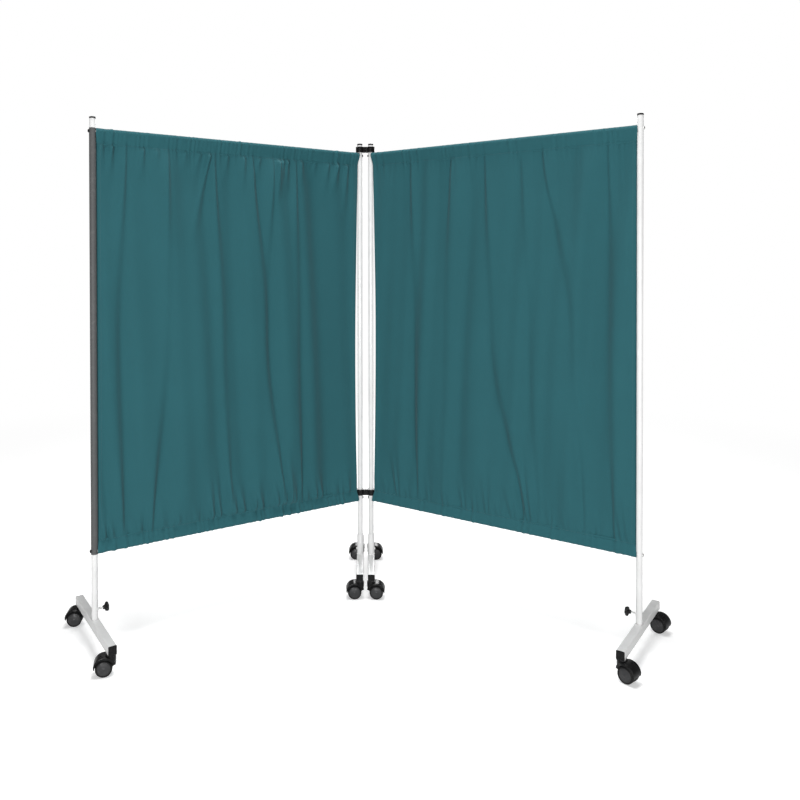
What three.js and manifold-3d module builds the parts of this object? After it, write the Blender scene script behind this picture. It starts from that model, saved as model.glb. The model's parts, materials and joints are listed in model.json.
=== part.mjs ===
// A two-panel ward privacy screen on wheels, in millimetres, with +Z up and the front towards -Y.
// Each panel is a pair of round posts joined by a top and a bottom rail that run through the cloth's pockets.
// Two figure-eight clamps hinge the inner posts together, and each post stands in a foot on two swivel casters.

import * as THREE from 'three';
import { mergeVertices } from 'three/addons/utils/BufferGeometryUtils.js';
import Module from 'manifold-3d';

const wasm = await Module();
wasm.setup();

// Clearances and overruns
const fitGap = 0.3;
const pocketGap = 1;
const cutOverrun = 4;

// Panels
const panelWidth = 1000;
const panelTurn = THREE.MathUtils.degToRad(34);
const hingeSpacing = 42;
const clothTop = 1634;
const clothBottom = 296;

// Posts
const postDiameter = 19;
const postWall = 1.5;
const postAboveCloth = 32;
const capDomeHeight = 4;
const capPlugLength = 12;

// Rails and the bolts that hold them
const railDiameter = 16;
const railBore = 12;
const railThreadBore = 6.8;
const railThreadLength = 20;
const boltDiameter = 6;
const boltHoleDiameter = 6.8;
const boltHeadDiameter = 11;
const boltHeadHeight = 3.6;
const boltReach = 14;

// The grey sleeve on the left outer post
const sleeveWall = 0.9;

// Cloth
const clothThickness = 1.2;
const topPocketDepth = 52;
const bottomPocketDepth = 38;
const pocketPinch = 14;
const foldDepth = 13;
const foldHalfWidth = 17;
const foldCrown = 4;
const foldRunIn = 150;
const edgeBow = 16;
const edgeClear = 0.6;

// Hinge clamps
const clampDiameter = 30;
const clampHeight = 22;
const clampWaist = 16;
const clampClear = 1;

// Feet
const footLength = 400;
const footWidth = 25;
const footHeight = 28;
const footWall = 2;
const spigotHeight = 60;
const socketHeight = 77;
const socketWall = 2;
const endCapThickness = 2.5;
const endCapPlugLength = 9;
const endCapRim = 3;
const endCapPanelDepth = 0.6;
const footScrewHeight = 20;
const footScrewDiameter = 5;
const footScrewHeadDiameter = 9;
const footScrewHeadHeight = 4;

// Clamping knobs of the outer posts
const knobHeight = 31;
const studDiameter = 6;
const studLength = 15;
const knobHubDiameter = 11;
const knobHubLength = 7;
const knobNeckDiameter = 15;
const knobHeadDiameter = 30;
const knobHeadThickness = 11;
const knobLobeDepth = 3;
const knobLobes = 5;

// Casters
const wheelDiameter = 50;
const wheelWidth = 17.3;
const wheelEdge = 3;
const hubcapDome = 1.6;
const webWidth = 7;
const axleDiameter = 6;
const sideGap = 0.7;
const casterTrail = 19;
const hoodWall = 3.8;
const hoodRise = 4.5;
const hoodTopGap = 3;
const hoodSideInset = 1;
const wheelPocketGap = 1.2;
const webBelowAxle = 8;
const stemBlockDiameter = 31;
const stemBlockBottom = 27;
const stemBlockChamfer = 8;
const stemCollarHeight = 1;
const stemDiameter = 11;
const stemLength = 20;
const stemInset = 17;
const casterTopGap = 1;

// Facets round each kind of turned part
const postSides = 16;
const railSides = 12;
const boltSides = 8;
const stemSides = 12;
const wheelSides = 16;
const clampSides = 16;
const domeSteps = 2;
const hoodSteps = 5;
const stepsPerLobe = 6;

// The way each caster trails at rest, in degrees from +X
const casterTrailAngles = {
  left_outer_front: 195,
  left_outer_rear: 188,
  left_inner_front: 184,
  left_inner_rear: 180,
  right_inner_front: 356,
  right_inner_rear: 0,
  right_outer_front: 310,
  right_outer_rear: 315,
};

// Each fold's place across the panel as shares of the width from the inner post at the top, middle and bottom of
// the cloth, then its strength there as shares of the full fold depth
const leftFoldShares = [
  { place: [0.28, 0.278, 0.262], depth: [1, 1, 1] },
  { place: [0.375, 0.36, 0.312], depth: [0.7, 0.35, 0] },
  { place: [0.459, 0.41, 0.362], depth: [1, 1, 1] },
  { place: [0.601, 0.558, 0.524], depth: [1, 0.6, 0.5] },
  { place: [0.759, 0.759, 0.806], depth: [0.35, 0.5, 1] },
  { place: [0.89, 0.905, 0.894], depth: [0.7, 0.9, 0.8] },
];
const rightFoldShares = [
  { place: [0.184, 0.197, 0.212], depth: [0.9, 1, 0.9] },
  { place: [0.357, 0.33, 0.32], depth: [0.6, 0.35, 0] },
  { place: [0.474, 0.51, 0.62], depth: [0.9, 1, 1] },
  { place: [0.597, 0.65, 0.7], depth: [0.6, 0.5, 0.2] },
  { place: [0.686, 0.78, 0.825], depth: [0.9, 0.8, 0.6] },
  { place: [0.892, 0.91, 0.921], depth: [0.8, 0.8, 0.7] },
];
const clothRowShares = [0.9, 0.74, 0.56, 0.38, 0.2, 0.08];

// Sizes that follow from those above
const postRadius = postDiameter / 2;
const postBoreRadius = postRadius - postWall;
const postTop = clothTop + postAboveCloth;
const railRadius = railDiameter / 2;
const pocketRadius = railRadius + pocketGap;
const pocketOuterRadius = pocketRadius + clothThickness;
const topRailHeight = clothTop - pocketOuterRadius;
const bottomRailHeight = clothBottom + pocketOuterRadius;
const sleeveBoreRadius = postRadius + fitGap;
const sleeveRadius = sleeveBoreRadius + sleeveWall;
const clampRadius = clampDiameter / 2;
const ringBoreRadius = postRadius + fitGap;
const topClampHeight = clothTop + clampClear;
const bottomClampHeight = bottomRailHeight + pocketOuterRadius + clampClear;
const wheelRadius = wheelDiameter / 2;
const axleHeight = wheelRadius * Math.cos(Math.PI / wheelSides);
const hoodRadius = wheelRadius + wheelPocketGap + hoodWall;
const footBottom = axleHeight + hoodRise + hoodRadius + hoodTopGap;
const footTop = footBottom + footHeight;
const casterTop = footBottom - casterTopGap;
const wheelInner = webWidth / 2 + sideGap;
const wheelOuter = wheelInner + wheelWidth;
const stemOffset = footLength / 2 - stemInset;

// Materials
function surface(color, roughness, metalness) {
  return new THREE.MeshStandardMaterial({ color, roughness, metalness });
}

const whitePaint = surface(0xf1f1ef, 0.35, 0.1);
const greySleeve = surface(0x5f5d5b, 0.6, 0);
const tealCloth = surface(0x2f6167, 0.9, 0);
const blackPlastic = surface(0x151516, 0.45, 0);
const hubPlastic = surface(0x2c2c2e, 0.4, 0);
const screwSteel = surface(0xc9c9c7, 0.3, 0.9);

// A geometry with only its positions, its shared corners merged and its empty triangles left out
function closedGeometry(geometry) {
  geometry.deleteAttribute('normal');
  geometry.deleteAttribute('uv');
  const merged = mergeVertices(geometry);
  const corners = merged.index.array;
  const kept = [];
  for (let i = 0; i < corners.length; i += 3) {
    const [a, b, c] = [corners[i], corners[i + 1], corners[i + 2]];
    if (a !== b && b !== c && c !== a) kept.push(a, b, c);
  }
  merged.setIndex(kept);
  return merged;
}

function toSolid(geometry) {
  const closed = closedGeometry(geometry);
  return new wasm.Manifold(new wasm.Mesh({
    numProp: 3,
    vertProperties: new Float32Array(closed.attributes.position.array),
    triVerts: new Uint32Array(closed.index.array),
  }));
}

function toGeometry(solid) {
  const mesh = solid.getMesh();
  const geometry = new THREE.BufferGeometry();
  geometry.setAttribute('position', new THREE.BufferAttribute(mesh.vertProperties, 3));
  geometry.setIndex(new THREE.BufferAttribute(mesh.triVerts, 1));
  return geometry;
}

// A named mesh from a solid or a geometry
function piece(name, shape, material) {
  const geometry = shape.isBufferGeometry ? closedGeometry(shape) : toGeometry(shape);
  const mesh = new THREE.Mesh(geometry, material);
  mesh.name = name;
  return mesh;
}

// A turned shape round the Z axis from [radius, height] corners, listed up the outside first
function turned(corners, sides) {
  const profile = corners.map(([radius, height]) => new THREE.Vector2(radius, height));
  return new THREE.LatheGeometry(profile, sides).rotateX(Math.PI / 2);
}

// A round bar along Z from one height to another
function bar(radius, low, high, sides) {
  return turned([[0, low], [radius, low], [radius, high], [0, high]], sides);
}

// A tube along Z from one height to another, open at both ends
function tube(radius, bore, low, high, sides) {
  return turned([[bore, low], [radius, low], [radius, high], [bore, high], [bore, low]], sides);
}

// A flat outline lifted along Z from one height to another
function plate(outline, low, high, curveSegments) {
  const settings = { depth: high - low, bevelEnabled: false, curveSegments };
  return new THREE.ExtrudeGeometry(outline, settings).translate(0, 0, low);
}

function block(width, depth, height) {
  return new THREE.BoxGeometry(width, depth, height);
}

// Turns a shape made along Z so that it lies along X
function alongX(geometry) {
  return geometry.rotateY(Math.PI / 2);
}

// A shank along X with a shallow domed head beyond its start
function boltShape(radius, headRadius, headHeight, length, sides) {
  const bevel = headHeight / 2;
  return alongX(turned([
    [0, -headHeight],
    [headRadius - bevel, -headHeight],
    [headRadius, -bevel],
    [headRadius, 0],
    [radius, 0],
    [radius, length],
    [0, length],
  ], sides));
}

// A tube round the Z axis with a cross hole for the bolt of each rail
function tubeWithBoltHoles(radius, bore, low, high) {
  const reach = radius + cutOverrun;
  let solid = toSolid(tube(radius, bore, low, high, postSides));
  for (const height of [topRailHeight, bottomRailHeight]) {
    const hole = alongX(bar(boltHoleDiameter / 2, -reach, reach, boltSides));
    solid = solid.subtract(toSolid(hole.translate(0, 0, height)));
  }
  return solid;
}

// Post tube; an outer one has a hole for the knob's stud on the side towards the panel
function post(isOuter) {
  const solid = tubeWithBoltHoles(postRadius, postBoreRadius, footTop + fitGap, postTop);
  if (!isOuter) return solid;
  const studHole = alongX(bar(studDiameter / 2 + fitGap, -postRadius - cutOverrun, 0, boltSides));
  return solid.subtract(toSolid(studHole.translate(0, 0, footTop + knobHeight)));
}

// Grey sleeve round the left outer post over the cloth's height
function edgeSleeve() {
  return tubeWithBoltHoles(sleeveRadius, sleeveBoreRadius, clothBottom, clothTop);
}

// Domed plug in the top end of a post
function postCap() {
  const plugRadius = postBoreRadius - fitGap;
  const corners = [[0, -capPlugLength], [plugRadius, -capPlugLength], [plugRadius, fitGap], [postRadius, fitGap]];
  const shoulder = capDomeHeight / 2;
  for (let step = 0; step <= domeSteps; step += 1) {
    const angle = (step / domeSteps) * (Math.PI / 2);
    corners.push([postRadius * Math.cos(angle), shoulder + (capDomeHeight - shoulder) * Math.sin(angle)]);
  }
  return turned(corners, postSides).translate(0, 0, postTop);
}

// Rail tube with a thick threaded end at each side, cut round to seat on its posts
function rail(outerSeatRadius, height) {
  const low = postRadius / 2;
  const high = panelWidth - outerSeatRadius / 2;
  const radius = railRadius;
  const bore = railBore / 2;
  const threadBore = railThreadBore / 2;
  const shape = turned([
    [threadBore, low],
    [radius, low],
    [radius, high],
    [threadBore, high],
    [threadBore, high - railThreadLength],
    [bore, high - railThreadLength],
    [bore, low + railThreadLength],
    [threadBore, low + railThreadLength],
    [threadBore, low],
  ], railSides);
  const reach = railRadius + cutOverrun;
  const innerSeat = toSolid(bar(postRadius + fitGap, -reach, reach, postSides));
  const outerSeat = toSolid(bar(outerSeatRadius + fitGap, -reach, reach, postSides).translate(panelWidth, 0, 0));
  return toSolid(alongX(shape)).subtract(innerSeat).subtract(outerSeat).translate(0, 0, height);
}

// Smooth value through a top, a middle and a bottom value, by height share
function alongHeight([top, middle, bottom], share) {
  if (share >= 0.5) return THREE.MathUtils.lerp(middle, top, THREE.MathUtils.smoothstep(share, 0.5, 1));
  return THREE.MathUtils.lerp(bottom, middle, THREE.MathUtils.smoothstep(share, 0, 0.5));
}

// How far the folds have opened out at a height: none at the pockets, full away from them
function foldOpening(height) {
  const below = THREE.MathUtils.smoothstep(height - clothBottom - bottomPocketDepth, 0, foldRunIn);
  const above = THREE.MathUtils.smoothstep(clothTop - topPocketDepth - height, 0, foldRunIn);
  return Math.min(below, above);
}

// How far the free inner edge draws in from the post at a height: a long shallow arc between the pockets, and
// never less than the lower clamp's ring needs from the bottom rail up
function edgeDrawIn(height) {
  const share = THREE.MathUtils.clamp((height - clothBottom) / (clothTop - clothBottom), 0, 1);
  const arcDrawIn = edgeBow * Math.sqrt(Math.sin(Math.PI * share));
  const isUpperHalf = share >= 0.5;
  if (isUpperHalf) return arcDrawIn;
  const pastRing = THREE.MathUtils.smoothstep(height, clothBottom, bottomRailHeight);
  return Math.max(arcDrawIn, (clampRadius - postRadius) * pastRing);
}

// Cloth columns at one height: place along the panel and stand-off from its plane. Each fold has a shoulder, a
// valley and a shoulder, and a low crown stands between neighbours
function clothColumns(folds, outerEdge, height) {
  const share = THREE.MathUtils.clamp((height - clothBottom) / (clothTop - clothBottom), 0, 1);
  const opening = foldOpening(height);
  const innerEdge = postRadius + edgeClear + edgeDrawIn(height);
  const columns = [[innerEdge, 0]];
  folds.forEach((fold, index) => {
    const place = panelWidth * alongHeight(fold.place, share);
    const depth = foldDepth * opening * alongHeight(fold.depth, share);
    if (index > 0) {
      const before = panelWidth * alongHeight(folds[index - 1].place, share);
      columns.push([(before + place) / 2, foldCrown * opening]);
    }
    columns.push([place - foldHalfWidth, 0], [place, -depth], [place + foldHalfWidth, 0]);
  });
  columns.push([outerEdge, 0]);
  return columns;
}

// Cloth: a sheet with folds whose top and bottom are sewn into pockets round the rails. The same closed section is
// repeated at every column and joined to the next, with a bore through each pocket, and a face closes each side
function cloth(folds, outerEdge, front) {
  const half = clothThickness / 2;
  const arcStep = Math.PI / 4;
  const arc = (radius, centre, from, steps) => Array.from({ length: steps + 1 }, (unused, step) => {
    const angle = from + step * arcStep;
    return [radius * Math.cos(angle), centre + radius * Math.sin(angle)];
  });
  const top = clothTop - topPocketDepth;
  const bottom = clothBottom + bottomPocketDepth;
  const rows = [top, ...clothRowShares.map((share) => bottom + (top - bottom) * share), bottom];
  const outline = [
    ...arc(pocketOuterRadius, topRailHeight, 0, 4),
    ...rows.map((height) => [-half, height]),
    ...arc(pocketOuterRadius, bottomRailHeight, Math.PI, 4),
    ...rows.toReversed().map((height) => [half, height]),
  ];
  const topBore = [...arc(pocketRadius, topRailHeight, -arcStep, 6), [0, top + pocketPinch]];
  const bottomBore = [...arc(pocketRadius, bottomRailHeight, Math.PI - arcStep, 6), [0, bottom - pocketPinch]];
  const loops = [outline, topBore.toReversed(), bottomBore.toReversed()];

  const positions = [];
  const triangles = [];
  const columnCount = clothColumns(folds, outerEdge, clothTop).length;
  let start = 0;
  for (const loop of loops) {
    loop.forEach(([offset, height]) => {
      for (const [along, standOff] of clothColumns(folds, outerEdge, height)) {
        positions.push(along, front * (offset + standOff), height);
      }
    });
    for (let point = 0; point < loop.length; point += 1) {
      const next = (point + 1) % loop.length;
      // Front and back are split along the same diagonal, so the wall between them keeps its thickness
      const rises = loop[next][1] > loop[point][1];
      for (let column = 0; column < columnCount - 1; column += 1) {
        const a = start + point * columnCount + column;
        const b = start + next * columnCount + column;
        if (rises) triangles.push(a, b, b + 1, a, b + 1, a + 1);
        else triangles.push(a, b, a + 1, b, b + 1, a + 1);
      }
    }
    start += loop.length * columnCount;
  }

  const asPoints = (loop) => loop.map(([offset, height]) => new THREE.Vector2(offset, height));
  const ends = THREE.ShapeUtils.triangulateShape(asPoints(loops[0]), [asPoints(loops[1]), asPoints(loops[2])]);
  for (const [a, b, c] of ends) {
    const last = columnCount - 1;
    triangles.push(a * columnCount, c * columnCount, b * columnCount);
    triangles.push(a * columnCount + last, b * columnCount + last, c * columnCount + last);
  }
  if (front < 0) triangles.reverse();

  const geometry = new THREE.BufferGeometry();
  geometry.setAttribute('position', new THREE.Float32BufferAttribute(positions, 3));
  geometry.setIndex(triangles);
  return geometry;
}

// Figure-eight clamp: a ring round each inner post and a waist between them
function hingeClamp(height) {
  const half = hingeSpacing / 2;
  const ring = (side) => toSolid(bar(clampRadius, 0, clampHeight, clampSides).translate(side * half, 0, 0));
  const waist = toSolid(block(hingeSpacing, clampWaist, clampHeight).translate(0, 0, clampHeight / 2));
  let solid = ring(-1).add(ring(1)).add(waist);
  for (const side of [-1, 1]) {
    const bore = bar(ringBoreRadius, -cutOverrun, clampHeight + cutOverrun, postSides);
    solid = solid.subtract(toSolid(bore.translate(side * half, 0, 0)));
  }
  return solid.translate(0, 0, height);
}

// Foot: a square tube along Y with a hole for each caster stem. An outer foot has a spigot that stands inside its
// post, and an inner foot has a bearing socket round its post with a hole for the retaining screw
function foot(isOuter, screwSide) {
  const middle = footTop - footHeight / 2;
  const outside = block(footWidth, footLength, footHeight).translate(0, 0, middle);
  const hollow = block(footWidth - 2 * footWall, footLength + cutOverrun, footHeight - 2 * footWall);
  let solid = toSolid(outside).subtract(toSolid(hollow.translate(0, 0, middle)));
  for (const end of [-1, 1]) {
    const low = footBottom - cutOverrun;
    const hole = bar(stemDiameter / 2 + fitGap, low, footBottom + footWall + cutOverrun, stemSides);
    solid = solid.subtract(toSolid(hole.translate(0, end * stemOffset, 0)));
  }
  const root = footTop - footWall / 2;
  if (isOuter) {
    const spigotRadius = postBoreRadius - fitGap;
    return solid.add(toSolid(bar(spigotRadius, root, footTop + spigotHeight, postSides)));
  }
  const boreRadius = postRadius + fitGap;
  const socketTop = footTop + socketHeight;
  const socket = toSolid(bar(boreRadius + socketWall, root, socketTop, postSides));
  const bore = toSolid(bar(boreRadius, footTop, socketTop + cutOverrun, postSides));
  const reach = boreRadius + socketWall + cutOverrun;
  const screwHole = alongX(bar(footScrewDiameter / 2 + fitGap, 0, reach, boltSides));
  if (screwSide < 0) screwHole.rotateZ(Math.PI);
  screwHole.translate(0, 0, footTop + footScrewHeight);
  return solid.add(socket.subtract(bore)).subtract(toSolid(screwHole));
}

// Plug in one end of a foot tube, with a sunken panel in its face
function footEndCap(end) {
  const face = block(footWidth, endCapThickness, footHeight);
  const plugWidth = footWidth - 2 * footWall - 2 * fitGap;
  const plugHeight = footHeight - 2 * footWall - 2 * fitGap;
  const plug = block(plugWidth, endCapPlugLength + endCapThickness, plugHeight);
  const panel = block(footWidth - 2 * endCapRim, endCapThickness, footHeight - 2 * endCapRim);
  const faceMiddle = footLength / 2 + fitGap + endCapThickness / 2;
  const solid = toSolid(face.translate(0, faceMiddle, 0))
    .add(toSolid(plug.translate(0, faceMiddle - endCapPlugLength / 2, 0)))
    .subtract(toSolid(panel.translate(0, faceMiddle + endCapThickness - endCapPanelDepth, 0)));
  return solid.rotate([0, 0, end < 0 ? 180 : 0]).translate(0, 0, footTop - footHeight / 2);
}

// Retaining screw of an inner foot, its tip just off the post
function footScrew(side) {
  const head = postRadius + fitGap + socketWall + fitGap;
  const length = socketWall + fitGap;
  const headRadius = footScrewHeadDiameter / 2;
  const shape = boltShape(footScrewDiameter / 2, headRadius, footScrewHeadHeight, length, boltSides);
  shape.rotateZ(Math.PI).translate(head, 0, 0);
  if (side < 0) shape.rotateZ(Math.PI);
  return shape.translate(0, 0, footTop + footScrewHeight);
}

// Clamping knob along +X from the post's axis: stud, tapered hub and a lobed head
function knob() {
  const studStart = postBoreRadius;
  const hubStart = postRadius + studLength;
  const headStart = hubStart + knobHubLength;
  const headRadius = knobHeadDiameter / 2;
  const stem = alongX(turned([
    [0, studStart],
    [studDiameter / 2, studStart],
    [studDiameter / 2, hubStart],
    [knobHubDiameter / 2, hubStart],
    [knobNeckDiameter / 2, headStart + knobLobeDepth],
    [0, headStart + knobLobeDepth],
  ], stemSides));
  const outline = new THREE.Shape();
  const steps = knobLobes * stepsPerLobe;
  for (let step = 0; step < steps; step += 1) {
    const angle = (step / steps) * 2 * Math.PI;
    const radius = headRadius - (knobLobeDepth / 2) * (1 - Math.cos(knobLobes * angle));
    if (step === 0) outline.moveTo(radius, 0);
    else outline.lineTo(radius * Math.cos(angle), radius * Math.sin(angle));
  }
  outline.closePath();
  const head = alongX(plate(outline, headStart, headStart + knobHeadThickness, 1));
  return toSolid(stem).add(toSolid(head));
}

// Side outline of a caster's hood and web, with the trail along +X and heights along +Y
function hoodOutline() {
  const outline = new THREE.Shape();
  const arcHeight = axleHeight + hoodRise;
  const webLow = axleHeight - webBelowAxle;
  outline.moveTo(0, webLow + webBelowAxle / 2);
  outline.lineTo(casterTrail - webBelowAxle, webLow);
  outline.lineTo(casterTrail + webBelowAxle, webLow);
  outline.lineTo(casterTrail + hoodRadius, arcHeight - hoodRise);
  outline.absarc(casterTrail, arcHeight, hoodRadius, 0, Math.PI / 2, false);
  outline.lineTo(0, arcHeight + hoodRadius);
  outline.closePath();
  return outline;
}

// Caster housing with its stem on Z and its wheels trailing along +X: a hood over both wheels, a web between them
// that carries the axle, a round block with a low collar under the stem, and the stem itself
function casterHousing() {
  const hoodHalfWidth = wheelOuter - hoodSideInset;
  const hood = plate(hoodOutline(), -hoodHalfWidth, hoodHalfWidth, hoodSteps).rotateX(Math.PI / 2);
  const blockRadius = stemBlockDiameter / 2;
  const stemRadius = stemDiameter / 2;
  const stemBlock = turned([
    [0, stemBlockBottom],
    [blockRadius - stemBlockChamfer, stemBlockBottom],
    [blockRadius, stemBlockBottom + stemBlockChamfer],
    [blockRadius, casterTop - stemCollarHeight],
    [stemRadius + stemCollarHeight, casterTop],
    [stemRadius, casterTop],
    [stemRadius, footBottom + stemLength],
    [0, footBottom + stemLength],
  ], stemSides);
  let solid = toSolid(hood).add(toSolid(stemBlock));
  const pocketRadiusAtWheel = wheelRadius + wheelPocketGap;
  for (const side of [-1, 1]) {
    const depth = wheelWidth + cutOverrun;
    const pocket = bar(pocketRadiusAtWheel, 0, depth, wheelSides).rotateX(Math.PI / 2);
    const middle = side * (webWidth / 2) + (side > 0 ? depth : 0);
    solid = solid.subtract(toSolid(pocket.translate(casterTrail, middle, axleHeight)));
  }
  const bore = bar(axleDiameter / 2 + fitGap, -webWidth, webWidth, stemSides).rotateX(Math.PI / 2);
  return solid.subtract(toSolid(bore.translate(casterTrail, 0, axleHeight)));
}

// Twin wheels on their axle, turned round Y at the axle's place, with a facet flat on the floor
function casterWheels() {
  const inner = wheelInner;
  const outer = wheelOuter;
  const axle = axleDiameter / 2;
  const side = (sign) => [
    [axle, sign * inner],
    [wheelRadius, sign * inner],
    [wheelRadius, sign * (outer - hubcapDome - wheelEdge)],
    [wheelRadius - wheelEdge, sign * (outer - hubcapDome)],
    [0, sign * outer],
  ];
  const corners = [...side(-1).reverse(), ...side(1)];
  const facetTurn = Math.PI / wheelSides;
  return turned(corners, wheelSides)
    .rotateZ(facetTurn + Math.PI / 2)
    .rotateX(Math.PI / 2)
    .translate(casterTrail, 0, axleHeight);
}

// One panel along its own +X from the inner post, with its posts, caps, rails, bolts and cloth
function panel(side, sideName) {
  const group = new THREE.Group();
  const isLeft = side < 0;
  const outerSeat = isLeft ? sleeveRadius : postRadius;
  const posts = { outer: panelWidth, inner: 0 };
  for (const [place, along] of Object.entries(posts)) {
    const tubeMesh = piece(`${sideName}_${place}_post`, post(place === 'outer'), whitePaint);
    const capMesh = piece(`${sideName}_${place}_post_cap`, postCap(), blackPlastic);
    for (const mesh of [tubeMesh, capMesh]) {
      mesh.position.x = along;
      group.add(mesh);
    }
  }
  const levels = { top: topRailHeight, bottom: bottomRailHeight };
  for (const [level, height] of Object.entries(levels)) {
    group.add(piece(`${sideName}_${level}_rail`, rail(outerSeat, height), whitePaint));
    for (const [place, along] of Object.entries(posts)) {
      const seat = place === 'outer' ? outerSeat : postRadius;
      const length = 2 * seat + boltReach;
      const shape = boltShape(boltDiameter / 2, boltHeadDiameter / 2, boltHeadHeight, length, boltSides);
      const boltMesh = piece(`${sideName}_${place}_${level}_bolt`, shape, blackPlastic);
      boltMesh.rotation.z = place === 'outer' ? Math.PI : 0;
      boltMesh.position.x = along + (place === 'outer' ? 1 : -1) * (seat + fitGap);
      boltMesh.position.z = height;
      group.add(boltMesh);
    }
  }
  const folds = isLeft ? leftFoldShares : rightFoldShares;
  const outerEdge = panelWidth - outerSeat - edgeClear;
  group.add(piece(`${sideName}_cloth`, cloth(folds, outerEdge, isLeft ? 1 : -1), tealCloth));
  if (isLeft) {
    const sleeveMesh = piece('left_edge_sleeve', edgeSleeve(), greySleeve);
    sleeveMesh.position.x = panelWidth;
    group.add(sleeveMesh);
  }
  const knobMesh = piece(`${sideName}_knob`, knob(), blackPlastic);
  knobMesh.position.set(panelWidth, 0, footTop + knobHeight);
  knobMesh.rotation.z = Math.PI;
  group.add(knobMesh);
  group.position.x = side * (hingeSpacing / 2);
  group.rotation.z = isLeft ? Math.PI + panelTurn : -panelTurn;
  return group;
}

// One foot along Y at the origin with its end caps and casters; turn is the foot's own turn about Z
function footAssembly(side, sideName, place, turn) {
  const group = new THREE.Group();
  const name = `${sideName}_${place}`;
  const isOuter = place === 'outer';
  group.add(piece(`${name}_foot`, foot(isOuter, side), whitePaint));
  if (!isOuter) group.add(piece(`${name}_foot_screw`, footScrew(side), screwSteel));
  for (const [end, way] of Object.entries({ front: -1, rear: 1 })) {
    group.add(piece(`${name}_${end}_end_cap`, footEndCap(way), blackPlastic));
    const caster = new THREE.Group();
    caster.add(piece(`${name}_${end}_caster`, casterHousing(), blackPlastic));
    caster.add(piece(`${name}_${end}_wheels`, casterWheels(), hubPlastic));
    caster.position.y = way * stemOffset;
    caster.rotation.z = THREE.MathUtils.degToRad(casterTrailAngles[`${name}_${end}`]) - turn;
    group.add(caster);
  }
  group.rotation.z = turn;
  return group;
}

// The whole screen, with the midpoint of its box at the origin and its wheels on the floor
function screen() {
  const assembly = new THREE.Group();
  assembly.add(piece('top_hinge_clamp', hingeClamp(topClampHeight), blackPlastic));
  assembly.add(piece('bottom_hinge_clamp', hingeClamp(bottomClampHeight), blackPlastic));
  for (const [sideName, side] of Object.entries({ left: -1, right: 1 })) {
    assembly.add(panel(side, sideName));
    const innerFoot = footAssembly(side, sideName, 'inner', 0);
    innerFoot.position.x = side * (hingeSpacing / 2);
    const outerFoot = footAssembly(side, sideName, 'outer', -side * panelTurn);
    outerFoot.position.x = side * (hingeSpacing / 2 + panelWidth * Math.cos(panelTurn));
    outerFoot.position.y = -panelWidth * Math.sin(panelTurn);
    assembly.add(innerFoot, outerFoot);
  }
  assembly.updateMatrixWorld(true);
  const box = new THREE.Box3().setFromObject(assembly, true);
  const middle = box.getCenter(new THREE.Vector3());
  assembly.position.set(-middle.x, -middle.y, -box.min.z);
  const whole = new THREE.Group();
  whole.add(assembly);
  whole.updateMatrixWorld(true);
  return whole;
}

export default screen();
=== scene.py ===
# Ward privacy screen on wheels: the finished surfaces of a two-panel folding screen.
# All lengths are in metres.
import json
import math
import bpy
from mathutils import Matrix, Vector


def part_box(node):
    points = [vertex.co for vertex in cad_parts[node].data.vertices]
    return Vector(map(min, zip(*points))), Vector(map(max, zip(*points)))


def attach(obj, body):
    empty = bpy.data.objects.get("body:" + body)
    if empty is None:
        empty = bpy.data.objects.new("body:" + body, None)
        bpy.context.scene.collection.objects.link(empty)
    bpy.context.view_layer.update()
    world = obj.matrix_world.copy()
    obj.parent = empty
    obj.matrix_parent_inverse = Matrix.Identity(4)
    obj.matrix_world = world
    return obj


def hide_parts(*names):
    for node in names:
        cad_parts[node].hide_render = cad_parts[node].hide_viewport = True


bl_info = {
    "name": "Ward privacy screen",
    "version": (1, 0, 0),
    "blender": (4, 5, 0),
    "location": "3D View > Sidebar > Screen",
    "description": "Posts, rails, clamps, feet, casters and cloths of a folding ward screen",
    "category": "Add Mesh",
}

import bpy
import numpy as np
from mathutils import Matrix, Vector

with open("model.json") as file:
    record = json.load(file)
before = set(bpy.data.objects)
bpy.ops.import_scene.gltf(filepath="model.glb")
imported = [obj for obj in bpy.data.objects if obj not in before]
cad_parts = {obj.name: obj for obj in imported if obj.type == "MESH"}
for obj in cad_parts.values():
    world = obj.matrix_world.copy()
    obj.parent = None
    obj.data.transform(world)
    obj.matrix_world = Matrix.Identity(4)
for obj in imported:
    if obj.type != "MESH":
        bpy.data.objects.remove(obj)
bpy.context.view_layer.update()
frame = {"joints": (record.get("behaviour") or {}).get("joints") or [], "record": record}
JOINTS = {joint["name"]: joint for joint in frame["joints"]}
BODIES = frame["record"]["behaviour"]["bodies"]
BODY_OF = {node: body for body, nodes in BODIES.items() for node in nodes}

# The slot of bright screws and studs, and the rail bolts that are bright as well
BRIGHT_SLOT = "screw_steel"
BRIGHT_BOLTS = ("right_outer_top_bolt", "right_outer_bottom_bolt")

SIDES = ("left", "right")
PLACES = ("inner", "outer")
ENDS = ("front", "rear")
POST_RADIUS = 0.0095
POST_WALL = 0.0015
FIT_GAP = 0.0003
FOOT_LENGTH, FOOT_WIDTH, FOOT_HEIGHT = 0.4, 0.025, 0.028
FOOT_WALL = 0.002
UP = np.array([0.0, 0.0, 1.0])
# Shapes are turned about Z: one matrix lays their axis along X and one along Y. The third one turns
# a shape half round Z
ALONG_X = np.array([[0, 0, 1, 0], [1, 0, 0, 0], [0, 1, 0, 0], [0, 0, 0, 1]], float)
ALONG_Y = np.array([[0, 1, 0, 0], [0, 0, 1, 0], [1, 0, 0, 0], [0, 0, 0, 1]], float)
HALF_TURN = np.diag([-1.0, -1.0, 1.0, 1.0])

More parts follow.
